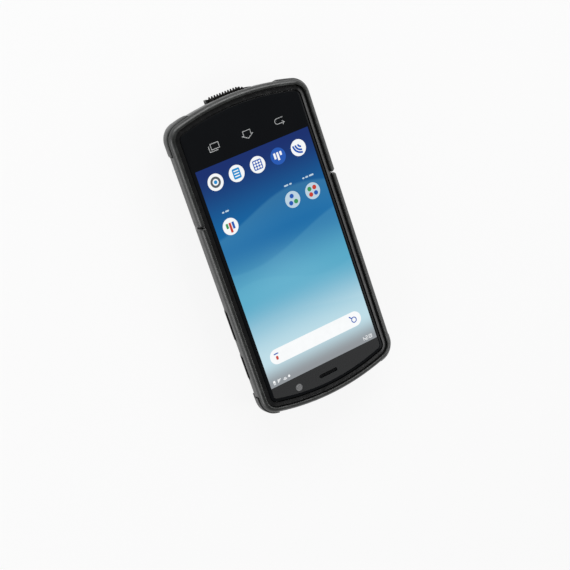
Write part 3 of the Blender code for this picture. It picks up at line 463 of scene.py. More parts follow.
def wall_inset(z, taper, depth):
    """How far a skin this deep in the hull's wall lies inside the case's outline at this height."""
    slope, rise = math.sin(taper), math.cos(taper)
    arc_middle = (BACK_RADIUS + (BELT_HEIGHT - BACK_RADIUS) * slope) / rise
    radius = BACK_RADIUS - depth
    if z <= BACK_RADIUS - radius * slope:
        return arc_middle - math.sqrt(max(radius**2 - (BACK_RADIUS - z) ** 2, 0))
    return max((depth + (BELT_HEIGHT - z) * slope) / rise, depth)


def corner_points(half_width, end_y, end_radius, radius, facing):
    """One rounded corner at +X, from the side to the middle of the end that faces +Y or -Y."""
    middle_y = end_y - facing * end_radius
    reach = math.sqrt((end_radius - radius) ** 2 - (half_width - radius) ** 2)
    lean = math.atan2(reach, half_width - radius)
    middle = (half_width - radius, middle_y + facing * reach)
    points = []
    for step in range(CORNER_STEPS + 1):
        turn = lean * step / CORNER_STEPS
        x = middle[0] + radius * math.cos(turn)
        points.append((x, middle[1] + facing * radius * math.sin(turn)))
    half_steps = END_STEPS // 2
    for step in range(1, half_steps + 1):
        turn = lean + (math.pi / 2 - lean) * step / half_steps
        points.append((end_radius * math.cos(turn), middle_y + facing * end_radius * math.sin(turn)))
    return points


def outline(side, end, z, depth=0.0):
    """The case's plan, drawn in by side and end, as a ring of points at this height."""
    radius = CORNER_RADIUS - depth - CORNER_TIGHTENING * (side - depth)
    radius = max(radius, CORNER_LEAST)
    top = corner_points(HALF_WIDTH - side, CASE_TOP - end, END_RADIUS - end, radius, 1)
    bottom = corner_points(HALF_WIDTH - side, CASE_BOTTOM + end, END_RADIUS - end, radius, -1)
    right = bottom[::-1] + top
    left = [(-x, y) for x, y in right[-2:0:-1]]
    return [(x, y, z) for x, y in right + left]


def even_outline(inset, z):
    return outline(inset, inset, z, inset)


def hull_ring(z, depth):
    return outline(wall_inset(z, SIDE_TAPER, depth), wall_inset(z, END_TAPER, depth), z, depth)


def hull_heights(depth):
    """The heights where a skin this deep inside the case bends: round its back, then at its belt."""
    radius = BACK_RADIUS - depth
    turns = [(math.pi / 2 - SIDE_TAPER) * step / BACK_STEPS for step in range(BACK_STEPS + 1)]
    heights = [BACK_RADIUS - radius * math.cos(turn) for turn in turns]
    return heights + [BELT_HEIGHT + depth * math.tan(SIDE_TAPER / 2)]


def hull_rings(depth, top):
    heights = [z for z in hull_heights(depth) if z < top - FIT_GAP]
    return [hull_ring(z, depth) for z in heights + [top]]


def front_round():
    """Inset and height along the rounded front edge of the case, from its side to its crest."""
    base = CASE_THICKNESS - FRONT_ROUND_HEIGHT
    return [(FRONT_ROUND_WIDTH * across, base + FRONT_ROUND_HEIGHT * up) for across, up in quarter_turn()]


def case_skin(name):
    """The whole case as one cup: up the outside, over the lip and down the inside."""
    edge = front_round()
    rings = hull_rings(0, edge[0][1])
    rings += [even_outline(inset, z) for inset, z in edge[1:]]
    lip = FRONT_ROUND_WIDTH + LIP_WIDTH
    rings += [even_outline(lip, CASE_THICKNESS), even_outline(lip, CASE_THICKNESS - LIP_HEIGHT)]
    rings += hull_rings(CASE_WALL, CASE_THICKNESS - LIP_HEIGHT - LIP_WIDTH)[::-1]
    return loft(name, rings)


def section(y, depth):
    """The case's cross-section at this Y, this deep inside its surface."""
    right = [(HALF_WIDTH - wall_inset(z, SIDE_TAPER, depth), z) for z in hull_heights(depth)]
    shrink = 1 - depth / FRONT_ROUND_HEIGHT
    base = CASE_THICKNESS - FRONT_ROUND_HEIGHT
    for inset, z in front_round():
        right.append((HALF_WIDTH - depth - inset * shrink, base + (z - base) * shrink))
    left = [(-x, z) for x, z in right[::-1]]
    return [(x, y, z) for x, z in right + left]


# Case halves and bumpers


def split_cutter():
    """A slab between the two halves of the case that leaves a chamfer on both outer edges."""
    reach = SPLIT_CHAMFER + SPLIT_GAP / 2
    span = HALF_WIDTH + CUT_MARGIN
    high = CASE_THICKNESS + CUT_MARGIN
    slab = box("split_slab", (-span, SPLIT_Y - reach, -CUT_MARGIN), (span, SPLIT_Y + reach, high))
    waist = loft(
        "split_waist",
        [
            section(SPLIT_Y - reach - CUT_MARGIN, -CUT_MARGIN),
            section(SPLIT_Y - SPLIT_GAP / 2, SPLIT_CHAMFER),
            section(SPLIT_Y + SPLIT_GAP / 2, SPLIT_CHAMFER),
            section(SPLIT_Y + reach + CUT_MARGIN, -CUT_MARGIN),
        ],
    )
    carve(slab, [waist])
    return slab


def bumper_band(name, outside, inside, low, high):
    """A closed band round the case between two heights, from outside the wall to inside it."""
    rings = [hull_ring(z, outside) for z in (low, BELT_HEIGHT, high)]
    rings += [hull_ring(z, inside) for z in (high, BELT_HEIGHT, low)]
    return loft(name, rings, ring_shaped=True)


def corner_region(name, side, end, grow):
    end_y = CASE_TOP if end > 0 else CASE_BOTTOM
    xs = sorted((side * (HALF_WIDTH - BUMPER_REACH[end] - grow), side * (HALF_WIDTH + CUT_MARGIN)))
    ys = sorted((end_y - end * (BUMPER_RISE[end] + grow), end_y + end * CUT_MARGIN))
    return box(name, (xs[0], ys[0], 0), (xs[1], ys[1], CASE_THICKNESS))


def bumper_pockets(end):
    pockets = []
    for side in (1, -1):
        outside = -BUMPER_PROUD - CUT_MARGIN
        low, high = BUMPER_LOW - BUMPER_GROOVE, BUMPER_HIGH + BUMPER_GROOVE
        pocket = bumper_band("pocket", outside, BUMPER_DEPTH + FIT_GAP, low, high)
        carve(pocket, [corner_region("pocket_space", side, end, BUMPER_GROOVE)], "INTERSECT")
        pockets.append(pocket)
    return pockets


def bumpers(material):
    for end, end_name in ((1, "top"), (-1, "bottom")):
        for side, side_name in ((1, "right"), (-1, "left")):
            name = f"bumper_{end_name}_{side_name}"
            pad = bumper_band(name + "_pad", -BUMPER_PROUD, BUMPER_DEPTH, BUMPER_LOW, BUMPER_HIGH)
            carve(pad, [corner_region("pad_space", side, end, 0)], "INTERSECT")
            soften(pad, BUMPER_EDGE)
            even_normals(pad)
            dress(pad, "collector", material, "bumper_rubber", name)


def key_ring(x, y, length, height, z=KEY_Z, lean=0.0):
    """A round-cornered ring for a key of this length and height; it leans along X with its height."""
    radius = min(length, height) * KEY_ROUND_SHARE
    plan = rounded(y, 0, length, height, radius, ROUND_SIDES // 4)
    return [(x + lean * rise, across, z + rise) for across, rise in plan]


def wall_x(z, depth=0.0):
    return HALF_WIDTH - wall_inset(z, SIDE_TAPER, depth)


def key_holes():
    """The holes that the keys' caps fill, flared at the case's surface."""
    cuts = []
    inner = wall_x(KEY_Z - KEY_HEIGHT / 2, DEVICE_INSET) - FIT_GAP
    face = wall_x(KEY_Z)
    steps = ((inner, 0), (face - KEY_HOLE_FLARE, 0), (face + CUT_MARGIN, KEY_HOLE_FLARE))
    for side in (1, -1):
        for kind, length in KEY_LENGTHS.items():
            rings = []
            for x, flare in steps:
                grown = 2 * (FIT_GAP + flare)
                rings.append(key_ring(side * x, KEY_MIDDLES[kind], length + grown, KEY_HEIGHT + grown))
            cuts.append(loft("key_hole", rings))
    return cuts


def finger_grooves():
    """The shallow grooves over the keys, a little shorter than the keys' holes."""
    cuts = []
    top = KEY_Z + KEY_HEIGHT / 2
    for side in (1, -1):
        for kind, length in KEY_LENGTHS.items():
            rings = []
            for x in (HALF_WIDTH - KEY_GROOVE_DEPTH, HALF_WIDTH + CUT_MARGIN):
                rings.append(key_ring(side * x, KEY_MIDDLES[kind], length, 2 * KEY_GROOVE_HEIGHT, top))
            cuts.append(loft("finger_groove", rings))
    return cuts


def upper_case(material, split):
    upper = case_skin("case_upper")
    span = HALF_WIDTH + CUT_MARGIN
    low = (-span, 2 * CASE_BOTTOM, -CUT_MARGIN)
    below = box("below_split", low, (span, SPLIT_Y + SPLIT_GAP / 2, CASE_THICKNESS + CUT_MARGIN))
    scan_hole = block("scan_hole", (0, CASE_TOP, SCAN_Z), (SCAN_HOLE[0], THROUGH_CUT, SCAN_HOLE[1]))
    lens_holes = []
    for x, radius in CAMERA_HOLES:
        steps = [(radius + LENS_FLARE, -FIT_GAP), (radius, CASE_WALL + CUT_MARGIN)]
        lens_holes.append(turned("lens_hole", x, CAMERA_Y, steps))
    carve(upper, [below, split, scan_hole, *lens_holes, *bumper_pockets(1)])
    carve(upper, key_holes())
    carve(upper, finger_grooves())
    smooth(upper, CASE_SHARP_ANGLE)
    even_normals(upper)
    dress(upper, "collector", material, "case_polymer", "case_upper_shell")


def lower_case(material, split):
    lower = case_skin("case_lower")
    span = HALF_WIDTH + CUT_MARGIN
    high = CASE_THICKNESS + CUT_MARGIN
    above = box("above_split", (-span, SPLIT_Y - SPLIT_GAP / 2, -CUT_MARGIN), (span, 2 * CASE_TOP, high))
    scoop_low = (-SCOOP_WIDTH / 2, CASE_BOTTOM - CUT_MARGIN, SCOOP_BOTTOM)
    scoop = box("scoop", scoop_low, (SCOOP_WIDTH / 2, SCOOP_FLOOR_Y, SCOOP_TOP))
    slots = []
    for slot in range(SLOT_COUNT):
        x = (slot - (SLOT_COUNT - 1) / 2) * SLOT_PITCH
        slots.append(block("speaker_slot", (x, SPEAKER_Y, 0), (*SLOT_SIZE, THROUGH_CUT / 2)))
    carve(lower, [above, split, scoop, *slots, *bumper_pockets(-1)])
    ear_in = COVER_WIDTH / 2 + FIT_GAP
    ears = []
    for side in (1, -1):
        xs = sorted((side * ear_in, side * (ear_in + EAR_WIDTH)))
        low = (xs[0], COVER_AXIS_Y - EAR_RADIUS, COVER_AXIS_Z - EAR_RADIUS)
        high = (xs[1], SCOOP_FLOOR_Y + EAR_ROOT, COVER_AXIS_Z + EAR_RADIUS)
        ears.append(box("ear", low, high))
    carve(lower, ears, "UNION")
    bore_end = ear_in + EAR_WIDTH + CUT_MARGIN
    bore = cross_rod("bore", COVER_AXIS_Y, COVER_AXIS_Z, HINGE_BORE_RADIUS, -bore_end, bore_end)
    port = block("port", (0, CASE_BOTTOM + CASE_WALL, PORT_Z), (PORT_HOLE[0], THROUGH_CUT, PORT_HOLE[1]))
    carve(lower, [bore, port])
    smooth(lower, CASE_SHARP_ANGLE)
    even_normals(lower)
    dress(lower, "collector", material, "case_polymer", "case_lower_shell")


# Bezel, glass and lit screen


def bezel(material):
    """The black frame round the glass, with a rounded crest."""
    crest = BEZEL_CREST_INSET - DEVICE_INSET
    profile = [(DEVICE_INSET, LEDGE_TOP), (DEVICE_INSET, BEZEL_CREST_Z - crest)]
    for across, up in quarter_turn()[1:]:
        profile.append((DEVICE_INSET + crest * across, BEZEL_CREST_Z - crest * (1 - up)))
    profile += [(BEZEL_FACE_INSET, BEZEL_FACE_Z), (BEZEL_FACE_INSET, LEDGE_TOP)]
    made = loft("bezel", [even_outline(*point) for point in profile], ring_shaped=True)
    dress(made, "collector", material, "bezel_plastic", "front_bezel")


def glass(material):
    """The cover glass, with a long soft fall at its edge and a slot for the earpiece."""
    profile = [(GLASS_INSET, GLASS_BOTTOM), (GLASS_INSET, GLASS_TOP - GLASS_EDGE_DROP)]
    for across, up in quarter_turn()[1:]:
        profile.append((GLASS_INSET + GLASS_EDGE * across, GLASS_TOP - GLASS_EDGE_DROP * (1 - up)))
    made = loft("cover_glass", [even_outline(*point) for point in profile])
    heights = (GLASS_BOTTOM - EARPIECE_SLOT[1] / 2, CASE_THICKNESS)
    carve(made, [prism("earpiece_slot", stadium(0, EARPIECE_Y, *EARPIECE_SLOT), heights)])
    even_normals(made)
    dress(made, "collector", material, "glass_black", "front_glass")


def stadium(x, y, length, height):
    """A bar with fully rounded ends, lying along X."""
    radius = height / 2
    points = []
    for end in (1, -1):
        for step in range(ROUND_SIDES // 2 + 1):
            turn = math.pi * step / (ROUND_SIDES // 2) - math.pi / 2
            reach = length / 2 - radius + radius * math.cos(turn)
            points.append((x + end * reach, y + end * radius * math.sin(turn)))
    return points


def rounded(x, y, width, height, radius, steps=ROUND_SIDES // 8):
    """A rectangle with rounded corners."""
    points = []
    for quarter in range(4):
        middle_x = x + (width / 2 - radius) * (1 if quarter in (0, 3) else -1)
        middle_y = y + (height / 2 - radius) * (1 if quarter in (0, 1) else -1)
        for step in range(steps + 1):
            turn = math.pi / 2 * (quarter + step / steps)
            points.append((middle_x + radius * math.cos(turn), middle_y + radius * math.sin(turn)))
    return points


def disc(x, y, radius):
    return [(x + px, y + py) for px, py in circle(radius)]


def tilted(points, x, y, angle):
    """The points turned about a place."""
    cos, sin = math.cos(angle), math.sin(angle)
    moved = []
    for px, py in points:
        across, up = px - x, py - y
        moved.append((x + across * cos - up * sin, y + across * sin + up * cos))
    return moved


def line(start, end, width):
    """A round-ended stroke between two points."""
    middle = [(a + b) / 2 for a, b in zip(start, end)]
    length = math.dist(start, end) + width
    angle = math.atan2(end[1] - start[1], end[0] - start[0])
    return tilted(stadium(*middle, length, width), *middle, angle)


def strokes(points, width):
    return [line(start, end, width) for start, end in zip(points, points[1:])]


def arc(x, y, radius, start, end, width):
    """A stroke along part of a circle, with its angles in degrees."""
    steps = ROUND_SIDES // 2
    outer, inner = [], []
    for step in range(steps + 1):
        turn = math.radians(start + (end - start) * step / steps)
        for side, ring in ((1, outer), (-1, inner)):
            reach = radius + side * width / 2
            ring.append((x + reach * math.cos(turn), y + reach * math.sin(turn)))
    return outer + inner[::-1]


def hoop(x, y, radius, width):
    return [arc(x, y, radius, start, start + 180, width) for start in (0, 180)]


def frame_strokes(x, y, width, height, stroke):
    """The four strokes of a rectangle's outline."""
    corners = rectangle((x - width / 2, y - height / 2), (x + width / 2, y + height / 2))
    return strokes(corners + corners[:1], stroke)


def print_layer(name, shapes, layer, material, slot):
    """Flat shapes on the glass, given in millimetres from the middle of the screen, as one piece.

    Each shape ends a hair below the one before, so strokes that cross share no face.
    """
    bm = bmesh.new()
    low = GLASS_TOP + layer * FILM
    for number, shape in enumerate(shapes):
        rings = []
        for z in (low, low + FILM - number * FILM_STEP):
            rings.append([bm.verts.new((x * MM, DISPLAY_Y + y * MM, z)) for x, y in shape])
        bm.faces.new(rings[0])
        bm.faces.new(rings[1])
        for here in range(len(shape)):
            after = (here + 1) % len(shape)
            bm.faces.new((rings[0][here], rings[0][after], rings[1][after], rings[1][here]))
    made = object_of(name, bm)
    dress(made, "collector", material, slot)


def screen_picture(materials):
    """The lit picture, its signs and the signs printed on the glass beside it."""
    half = (DISPLAY_WIDTH / 2 / MM, DISPLAY_LENGTH / 2 / MM)
    sheet = rectangle((-half[0], -half[1]), half)
    for name, layer, finish, shapes in (
        ("screen_picture", 0, "wallpaper", [sheet]),
        ("screen_white", 1, "sign_white", white_signs()),
        ("screen_folders", 1, "sign_pale", folder_signs()),
        ("screen_blue", 1, "sign_blue", [disc(CHART_X, DOCK_Y, ICON_RADIUS)]),
        ("screen_on_blue", 2, "sign_white", chart_bars()),
        ("screen_grey", 2, "sign_grey", hoop(RING_X, DOCK_Y, 2.1, 1.1)),
        ("screen_bright", 2, "sign_bright", bright_signs()),
        ("screen_cool", 2, "sign_blue", cool_signs()),
        ("screen_warm", 2, "sign_red", warm_signs()),
        ("screen_green", 2, "sign_green", green_signs()),
        ("screen_lines", 3, "sign_white", page_lines() + grid_dots()),
    ):
        print_layer(name, shapes, layer, materials[finish], "display")
    print_layer("touch_signs", touch_signs(), 0, materials["sign_print"], "glass_black")
    lens_y = (EARPIECE_Y - DISPLAY_Y) / MM
    ring = [disc(LENS_X, lens_y, LENS_RING_RADIUS)]
    print_layer("front_lens_ring", ring, 0, materials["lens_ring"], "lens_glass")
    print_layer("front_lens", [disc(LENS_X, lens_y, LENS_RADIUS)], 1, materials["lens"], "lens_glass")


def white_signs():
    """The white discs, the search bar and the top row."""
    signs = [disc(x, DOCK_Y, ICON_RADIUS) for x in (ARCS_X, DOTS_X, PAGE_X, RING_X)]
    signs += [disc(BARS_X, FOLDER_Y, ICON_RADIUS), stadium(*SEARCH_BAR)]
    return signs + status_signs()


def folder_signs():
    return [disc(x, FOLDER_Y, ICON_RADIUS) for x in FOLDER_XS] + label_bars()


def chart_bars():
    bars = []
    for x, height in ((-1.7, 1.9), (0.0, 3.9), (1.7, 2.9)):
        bars.append(rounded(CHART_X + x, DOCK_Y - 1.9 + height / 2, 1.1, height, BAR_ROUND))
    return bars


def bright_signs():
    return [rounded(PAGE_X, DOCK_Y, 4.0, 5.0, 0.6), disc(RING_X, DOCK_Y, 0.9)]


def page_lines():
    ends = (PAGE_X - 1.1, PAGE_X + 1.1)
    return [line((ends[0], DOCK_Y + y), (ends[1], DOCK_Y + y), 0.5) for y in (-1.3, 0.0, 1.3)]


def grid_dots():
    steps = (-1.4, 0, 1.4)
    return [disc(DOTS_X + x, DOCK_Y + y, 0.55) for x in steps for y in steps]


def spot(folder, x, y):
    return disc(FOLDER_XS[folder] + x, FOLDER_Y + y, SPOT_RADIUS)


def folder_bar(x, y, height):
    return rounded(BARS_X + x, FOLDER_Y + y, 1.2, height, BAR_ROUND)


def cool_signs():
    """The blue parts of the signs: grid, arcs, magnifier, voice sign's foot, spots and a bar."""
    signs = [rounded(DOTS_X, DOCK_Y, 4.8, 4.8, 0.6)]
    signs += [arc(ARCS_X - 1.6, DOCK_Y - 1.6, reach, 0, 90, 0.9) for reach in (1.4, 2.9, 4.2)]
    x, y = SEARCH_SIGN
    signs += hoop(x, y, 1.3, 0.5)
    signs.append(line((x + 1.0, y - 1.0), (x + 2.1, y - 2.1), 0.6))
    x, y = VOICE_SIGN
    signs.append(line((x - 1.0, y - 2.1), (x + 1.0, y - 2.1), 0.6))
    signs += [spot(0, -SPOT_STEP, SPOT_STEP), spot(1, SPOT_STEP, SPOT_STEP), spot(1, 0, -1.7)]
    return signs + [folder_bar(-1.6, -0.1, 3.4)]


def warm_signs():
    signs = [spot(0, SPOT_STEP, SPOT_STEP), spot(0, -SPOT_STEP, -SPOT_STEP), folder_bar(0, 0.6, 4.8)]
    return signs + [tilted(stadium(*VOICE_SIGN, 2.0, 1.3), *VOICE_SIGN, math.pi / 2)]


def green_signs():
    return [spot(0, SPOT_STEP, -SPOT_STEP), spot(1, -SPOT_STEP, SPOT_STEP), folder_bar(1.6, -0.6, 2.4)]


def label_bars():
    """Plain bars where names would be."""
    bars = []
    for x, lengths in LABELS:
        start = x - (sum(lengths) + LABEL_GAP * (len(lengths) - 1)) / 2
        for length in lengths:
            bars.append(stadium(start + length / 2, FOLDER_Y - LABEL_DROP, length, LABEL_HEIGHT))
            start += length + LABEL_GAP
    return bars


def status_signs():
    """A clock and small signs in the top row of the screen."""
    y = STATUS_Y
    signs = []
    for x, digit in CLOCK:
        signs += digit_strokes(x, y, digit)
    signs += [disc(COLON_X, y + side * 0.4, 0.16) for side in (1, -1)]
    signs += frame_strokes(28.6, y, DIGIT_WIDTH, DIGIT_HEIGHT, DIGIT_STROKE)
    signs.append(rounded(28.6, y - 0.3, 0.7, 0.9, 0.1))
    for step in range(4):
        height = (step + 1) * 0.4
        signs.append(rounded(25.0 + step * 0.5, y - 0.8 + height / 2, 0.34, height, 0.05))
    signs += [arc(22.6, y - 0.8, reach, 50, 130, 0.26) for reach in (0.6, 1.1, 1.6)]
    signs.append(disc(20.2, y, 0.6))
    return signs


def digit_strokes(x, y, digit):
    """A numeral from straight bars."""
    left, right = x - DIGIT_WIDTH / 2, x + DIGIT_WIDTH / 2
    top, bottom = y + DIGIT_HEIGHT / 2, y - DIGIT_HEIGHT / 2
    bars = {
        "a": ((left, top), (right, top)),
        "b": ((right, top), (right, y)),
        "c": ((right, y), (right, bottom)),
        "d": ((left, bottom), (right, bottom)),
        "e": ((left, bottom), (left, y)),
        "f": ((left, y), (left, top)),
        "g": ((left, y), (right, y)),
    }
    shown = {"0": "abcdef", "1": "bc", "2": "abged", "4": "fgbc"}[digit]
    return [line(*bars[bar], DIGIT_STROKE) for bar in shown]


def touch_signs():
    """The three common signs below the screen: back, home and recent."""
    y, stroke = TOUCH_Y, TOUCH_STROKE
    x = -TOUCH_X
    signs = [line((x - 2.2, y + 1.3), (x + 1.2, y + 1.3), stroke), arc(x + 1.2, y, 1.3, -90, 90, stroke)]
    signs += [line((x + 1.2, y - 1.3), (x - 2.0, y - 1.3), stroke)]
    signs += strokes([(x - 1.3, y + 2.1), (x - 2.3, y + 1.3), (x - 1.3, y + 0.5)], stroke)
    home = [(-2.0, -1.6), (2.0, -1.6), (2.0, 0.5), (2.9, 0.5), (0, 2.2), (-2.9, 0.5), (-2.0, 0.5)]
    home.append(home[0])
    signs += strokes([(across, y + up) for across, up in home], stroke)
    x = TOUCH_X
    signs += frame_strokes(x - 0.5, y - 0.5, 4.2, 2.7, stroke)
    signs += strokes([(x - 1.6, y + 1.7), (x + 2.7, y + 1.7), (x + 2.7, y - 1.0)], stroke)
    return signs


def earpiece_mesh(material):
    """Fine bars across the slot in the glass, the second row a little thinner than the first."""
    bm = bmesh.new()
    low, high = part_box("earpiece_mesh")
    for axis in (0, 1):
        count = int((high[axis] - low[axis]) / MESH_PITCH)
        for step in range(count + 1):
            corner_low, corner_high = list(low), list(high)
            corner_low[axis] = low[axis] + step * MESH_PITCH
            corner_high[axis] = min(corner_low[axis] + MESH_BAR, high[axis])
            corner_low[2] += axis * MESH_BAR / 4
            corner_high[2] -= axis * MESH_BAR / 4
            made = bmesh.ops.create_cube(bm, size=1)
            for vert in made["verts"]:
                ends = zip(corner_low, corner_high, vert.co)
                vert.co = [(start + end) / 2 + share * (end - start) for start, end, share in ends]
    dress(object_of("earpiece_grid", bm), "collector", material, "shield_steel", "earpiece_mesh")


# Keys and port cover


def side_key(name, side, kind, material, node):
    """A key with a softly rounded cap that leans with the wall, on a narrower stem."""
    y, length = KEY_MIDDLES[kind], KEY_LENGTHS[kind]
    low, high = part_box(node)
    face = side * (wall_x(KEY_Z) + KEY_PROUD)
    stem_end = low[0] if side > 0 else high[0]
    back = side * wall_x(KEY_Z - KEY_HEIGHT / 2, CASE_WALL)
    rings = []
    for across, up in quarter_turn():
        x = face - side * KEY_EDGE * (1 - up)
        shrink = 2 * KEY_EDGE * across
        rings.insert(0, key_ring(x, y, length - shrink, KEY_HEIGHT - shrink, lean=side * KEY_LEAN))
    rings.append(key_ring(back, y, length, KEY_HEIGHT))
    margin = 2 * KEY_STEM_MARGIN
    rings += [key_ring(x, y, length - margin, KEY_HEIGHT - margin) for x in (back, stem_end)]
    made = loft(name, rings)
    if kind == "upper" and side < 0:
        xs = sorted((stem_end - side * CUT_MARGIN, back - side * FIT_GAP))
        low = (xs[0], y - ROCKER_STEM_GAP / 2, KEY_Z - KEY_HEIGHT)
        carve(made, [box("stem_gap", low, (xs[1], y + ROCKER_STEM_GAP / 2, KEY_Z + KEY_HEIGHT))])
    even_normals(made)
    dress(made, node, material, "key_rubber", node)


def rib_outline(z, shrink):
    """The ribbed plate's plan at this height: a flat inner face and slanting, rounded ribs outside.

    The row runs past both ends of the cover, which are cut off afterwards.
    """
    pitch = COVER_WIDTH / RIB_COUNT
    inner_y = COVER_PLATE_Y + COVER_THICKNESS
    start = -COVER_WIDTH / 2 - (RIB_SPARE + RIB_PHASE) * pitch + RIB_SLANT * (z - COVER_AXIS_Z)
    count = RIB_COUNT + RIB_SPARE + RIB_SPARE_END
    points = [(start + count * pitch, inner_y), (start, inner_y)]
    for rib in range(count):
        left = start + rib * pitch
        for step in range(RIB_STEPS):
            share = step / RIB_STEPS
            climb = min(share, 1 - share, RIB_GAP_SHARE / 2) / (RIB_GAP_SHARE / 2)
            rise = climb * climb * (3 - 2 * climb)
            points.append((left + pitch * share, COVER_PLATE_Y - (RIB_DEPTH - shrink) * rise))
    points.append((start + count * pitch, COVER_PLATE_Y))
    return [(x, y, z) for x, y in points]


def cover_plan():
    """The cover's width with its outer corners cut at a slant."""
    half = COVER_WIDTH / 2
    inner_y = COVER_PLATE_Y + COVER_THICKNESS + CUT_MARGIN
    outer_y = COVER_PLATE_Y - RIB_DEPTH - CUT_MARGIN
    inset = half - COVER_END_CUT - CUT_MARGIN
    plan = [(half, COVER_PLATE_Y), (half, inner_y), (-half, inner_y), (-half, COVER_PLATE_Y)]
    plan += [(-inset, outer_y), (inset, outer_y)]
    return prism("cover_plan", plan, (COVER_LOW - CUT_MARGIN, COVER_HIGH + CUT_MARGIN))


def lift_tab():
    """The plain tab at one end of the cover, thinner toward its tip."""
    low = COVER_AXIS_Z + EAR_RADIUS + TAB_MARGIN
    high = COVER_HIGH - TAB_MARGIN
    inner_y = COVER_PLATE_Y + TAB_THICKNESS
    root_x = -COVER_WIDTH / 2
    rings = []
    for x, thickness in ((root_x + TAB_MARGIN, TAB_THICKNESS), (root_x - TAB_LENGTH, TAB_TIP_THICKNESS)):
        outer_y = inner_y - thickness
        rings.append([(x, outer_y, low), (x, inner_y, low), (x, inner_y, high), (x, outer_y, high)])
    tab = loft("lift_tab", rings)
    soften(tab, TAB_EDGE)
    return tab


def port_cover(material):
    """The ribbed flap, with its hinge barrel, its lift tab and the plug on its inner face."""
    rings = [rib_outline(COVER_LOW, 0)]
    rings += [rib_outline(COVER_HIGH - RIB_DEPTH * below, RIB_DEPTH * draft) for below, draft in RIB_TOP]
    cover = loft("ribbed_cover", rings)
    half = COVER_WIDTH / 2
    carve(cover, [cover_plan()], "INTERSECT")
    barrel = cross_rod("barrel", COVER_AXIS_Y, COVER_AXIS_Z, COVER_THICKNESS / 2, -half, half)
    plug_y = COVER_PLATE_Y + COVER_THICKNESS + PLUG_SIZE[1] / 2
    size = (PLUG_SIZE[0], PLUG_SIZE[1] + FIT_GAP, PLUG_SIZE[2])
    plug = block("plug", (0, plug_y - FIT_GAP / 2, PORT_Z), size)
    carve(cover, [barrel, plug, lift_tab()], "UNION")
    bore_end = half + CUT_MARGIN
    carve(cover, [cross_rod("bore", COVER_AXIS_Y, COVER_AXIS_Z, HINGE_BORE_RADIUS, -bore_end, bore_end)])
    dress(cover, "port_cover", material, "cover_rubber", "port_cover")


# Materials


def srgb(red, green, blue):
    """A colour as it looks on screen, 0 to 255, as the linear values that shaders take."""
    values = []
    for value in (red, green, blue):
        value /= 255
        values.append(value / 12.92 if value <= 0.04045 else ((value + 0.055) / 1.055) ** 2.4)
    return (*values, 1.0)


class Tree:
    """The node tree of a material or world, and the ways to add to it."""

    def __init__(self, owner):
        owner.use_nodes = True
        self.owner = owner
        self.nodes = owner.node_tree.nodes

    def add(self, kind, **settings):
        made = self.nodes.new(kind)
        for key, value in settings.items():
            setattr(made, key, value)
        return made

    def link(self, start, end):
        self.owner.node_tree.links.new(start, end)

    def feed(self, sockets, values):
        """Gives each socket its value, which is another node's output or a constant."""
        for socket, value in zip(sockets, values):
            if hasattr(value, "is_linked"):
                self.link(value, socket)
            else:
                socket.default_value = value

    def compute(self, operation, *values):
        made = self.add("ShaderNodeMath", operation=operation)
        self.feed(made.inputs, values)
        return made.outputs[0]

    def ranged(self, value, low, high, from_low=0.3, from_high=0.7):
        made = self.add("ShaderNodeMapRange")
        self.feed(made.inputs, (value, from_low, from_high, low, high))
        return made.outputs["Result"]

    def blend(self, factor, first, second):
        made = self.add("ShaderNodeMix", data_type="RGBA")
        self.feed((made.inputs[0], made.inputs[6], made.inputs[7]), (factor, first, second))
        return made.outputs[2]

    def axes(self, vector):
        made = self.add("ShaderNodeSeparateXYZ")
        self.link(vector, made.inputs["Vector"])
        return made.outputs

    def seen(self):
        """1 for rays that come from the camera, or from it by a mirror or through glass, else 0."""
        path = self.add("ShaderNodeLightPath")
        share = path.outputs["Is Camera Ray"]
        for kind in ("Is Glossy Ray", "Is Transmission Ray"):
            share = self.compute("MAXIMUM", share, path.outputs[kind])
        return share


class Finish(Tree):
    """A material with a Principled shader."""

    def __init__(self, name):
        super().__init__(bpy.data.materials.new(name))
        self.shader = self.nodes["Principled BSDF"]
        self.place = self.add("ShaderNodeTexCoord").outputs["Object"]

    def set(self, **values):
        """Gives the shader's sockets their values, with _ for the spaces in their names."""
        sockets = [self.shader.inputs[key.replace("_", " ")] for key in values]
        self.feed(sockets, values.values())
        return self.owner

    def noise(self, scale, detail=3.0, stretch=None):
        made = self.add("ShaderNodeTexNoise")
        made.inputs["Scale"].default_value = scale
        made.inputs["Detail"].default_value = detail
        place = self.place
        if stretch:
            mapping = self.add("ShaderNodeMapping")
            mapping.inputs["Scale"].default_value = stretch
            self.link(place, mapping.inputs["Vector"])
            place = mapping.outputs["Vector"]
        self.link(place, made.inputs["Vector"])
        return made.outputs["Fac"]

    def bump(self, height, strength, distance):
        made = self.add("ShaderNodeBump")
        made.inputs["Strength"].default_value = strength
        made.inputs["Distance"].default_value = distance
        self.link(height, made.inputs["Height"])
        return made.outputs["Normal"]

    def light(self, colour):
        """Makes the face black and lets it give off this colour."""
        self.set(Base_Color=(0.0, 0.0, 0.0, 1.0), Emission_Color=colour, Emission_Strength=1.0)
        return self.set(Roughness=SCREEN_ROUGHNESS, Specular_IOR_Level=SCREEN_SHINE)


def tinted(colour, share):
    return (*[min(value * share, 1.0) for value in colour[:3]], 1.0)


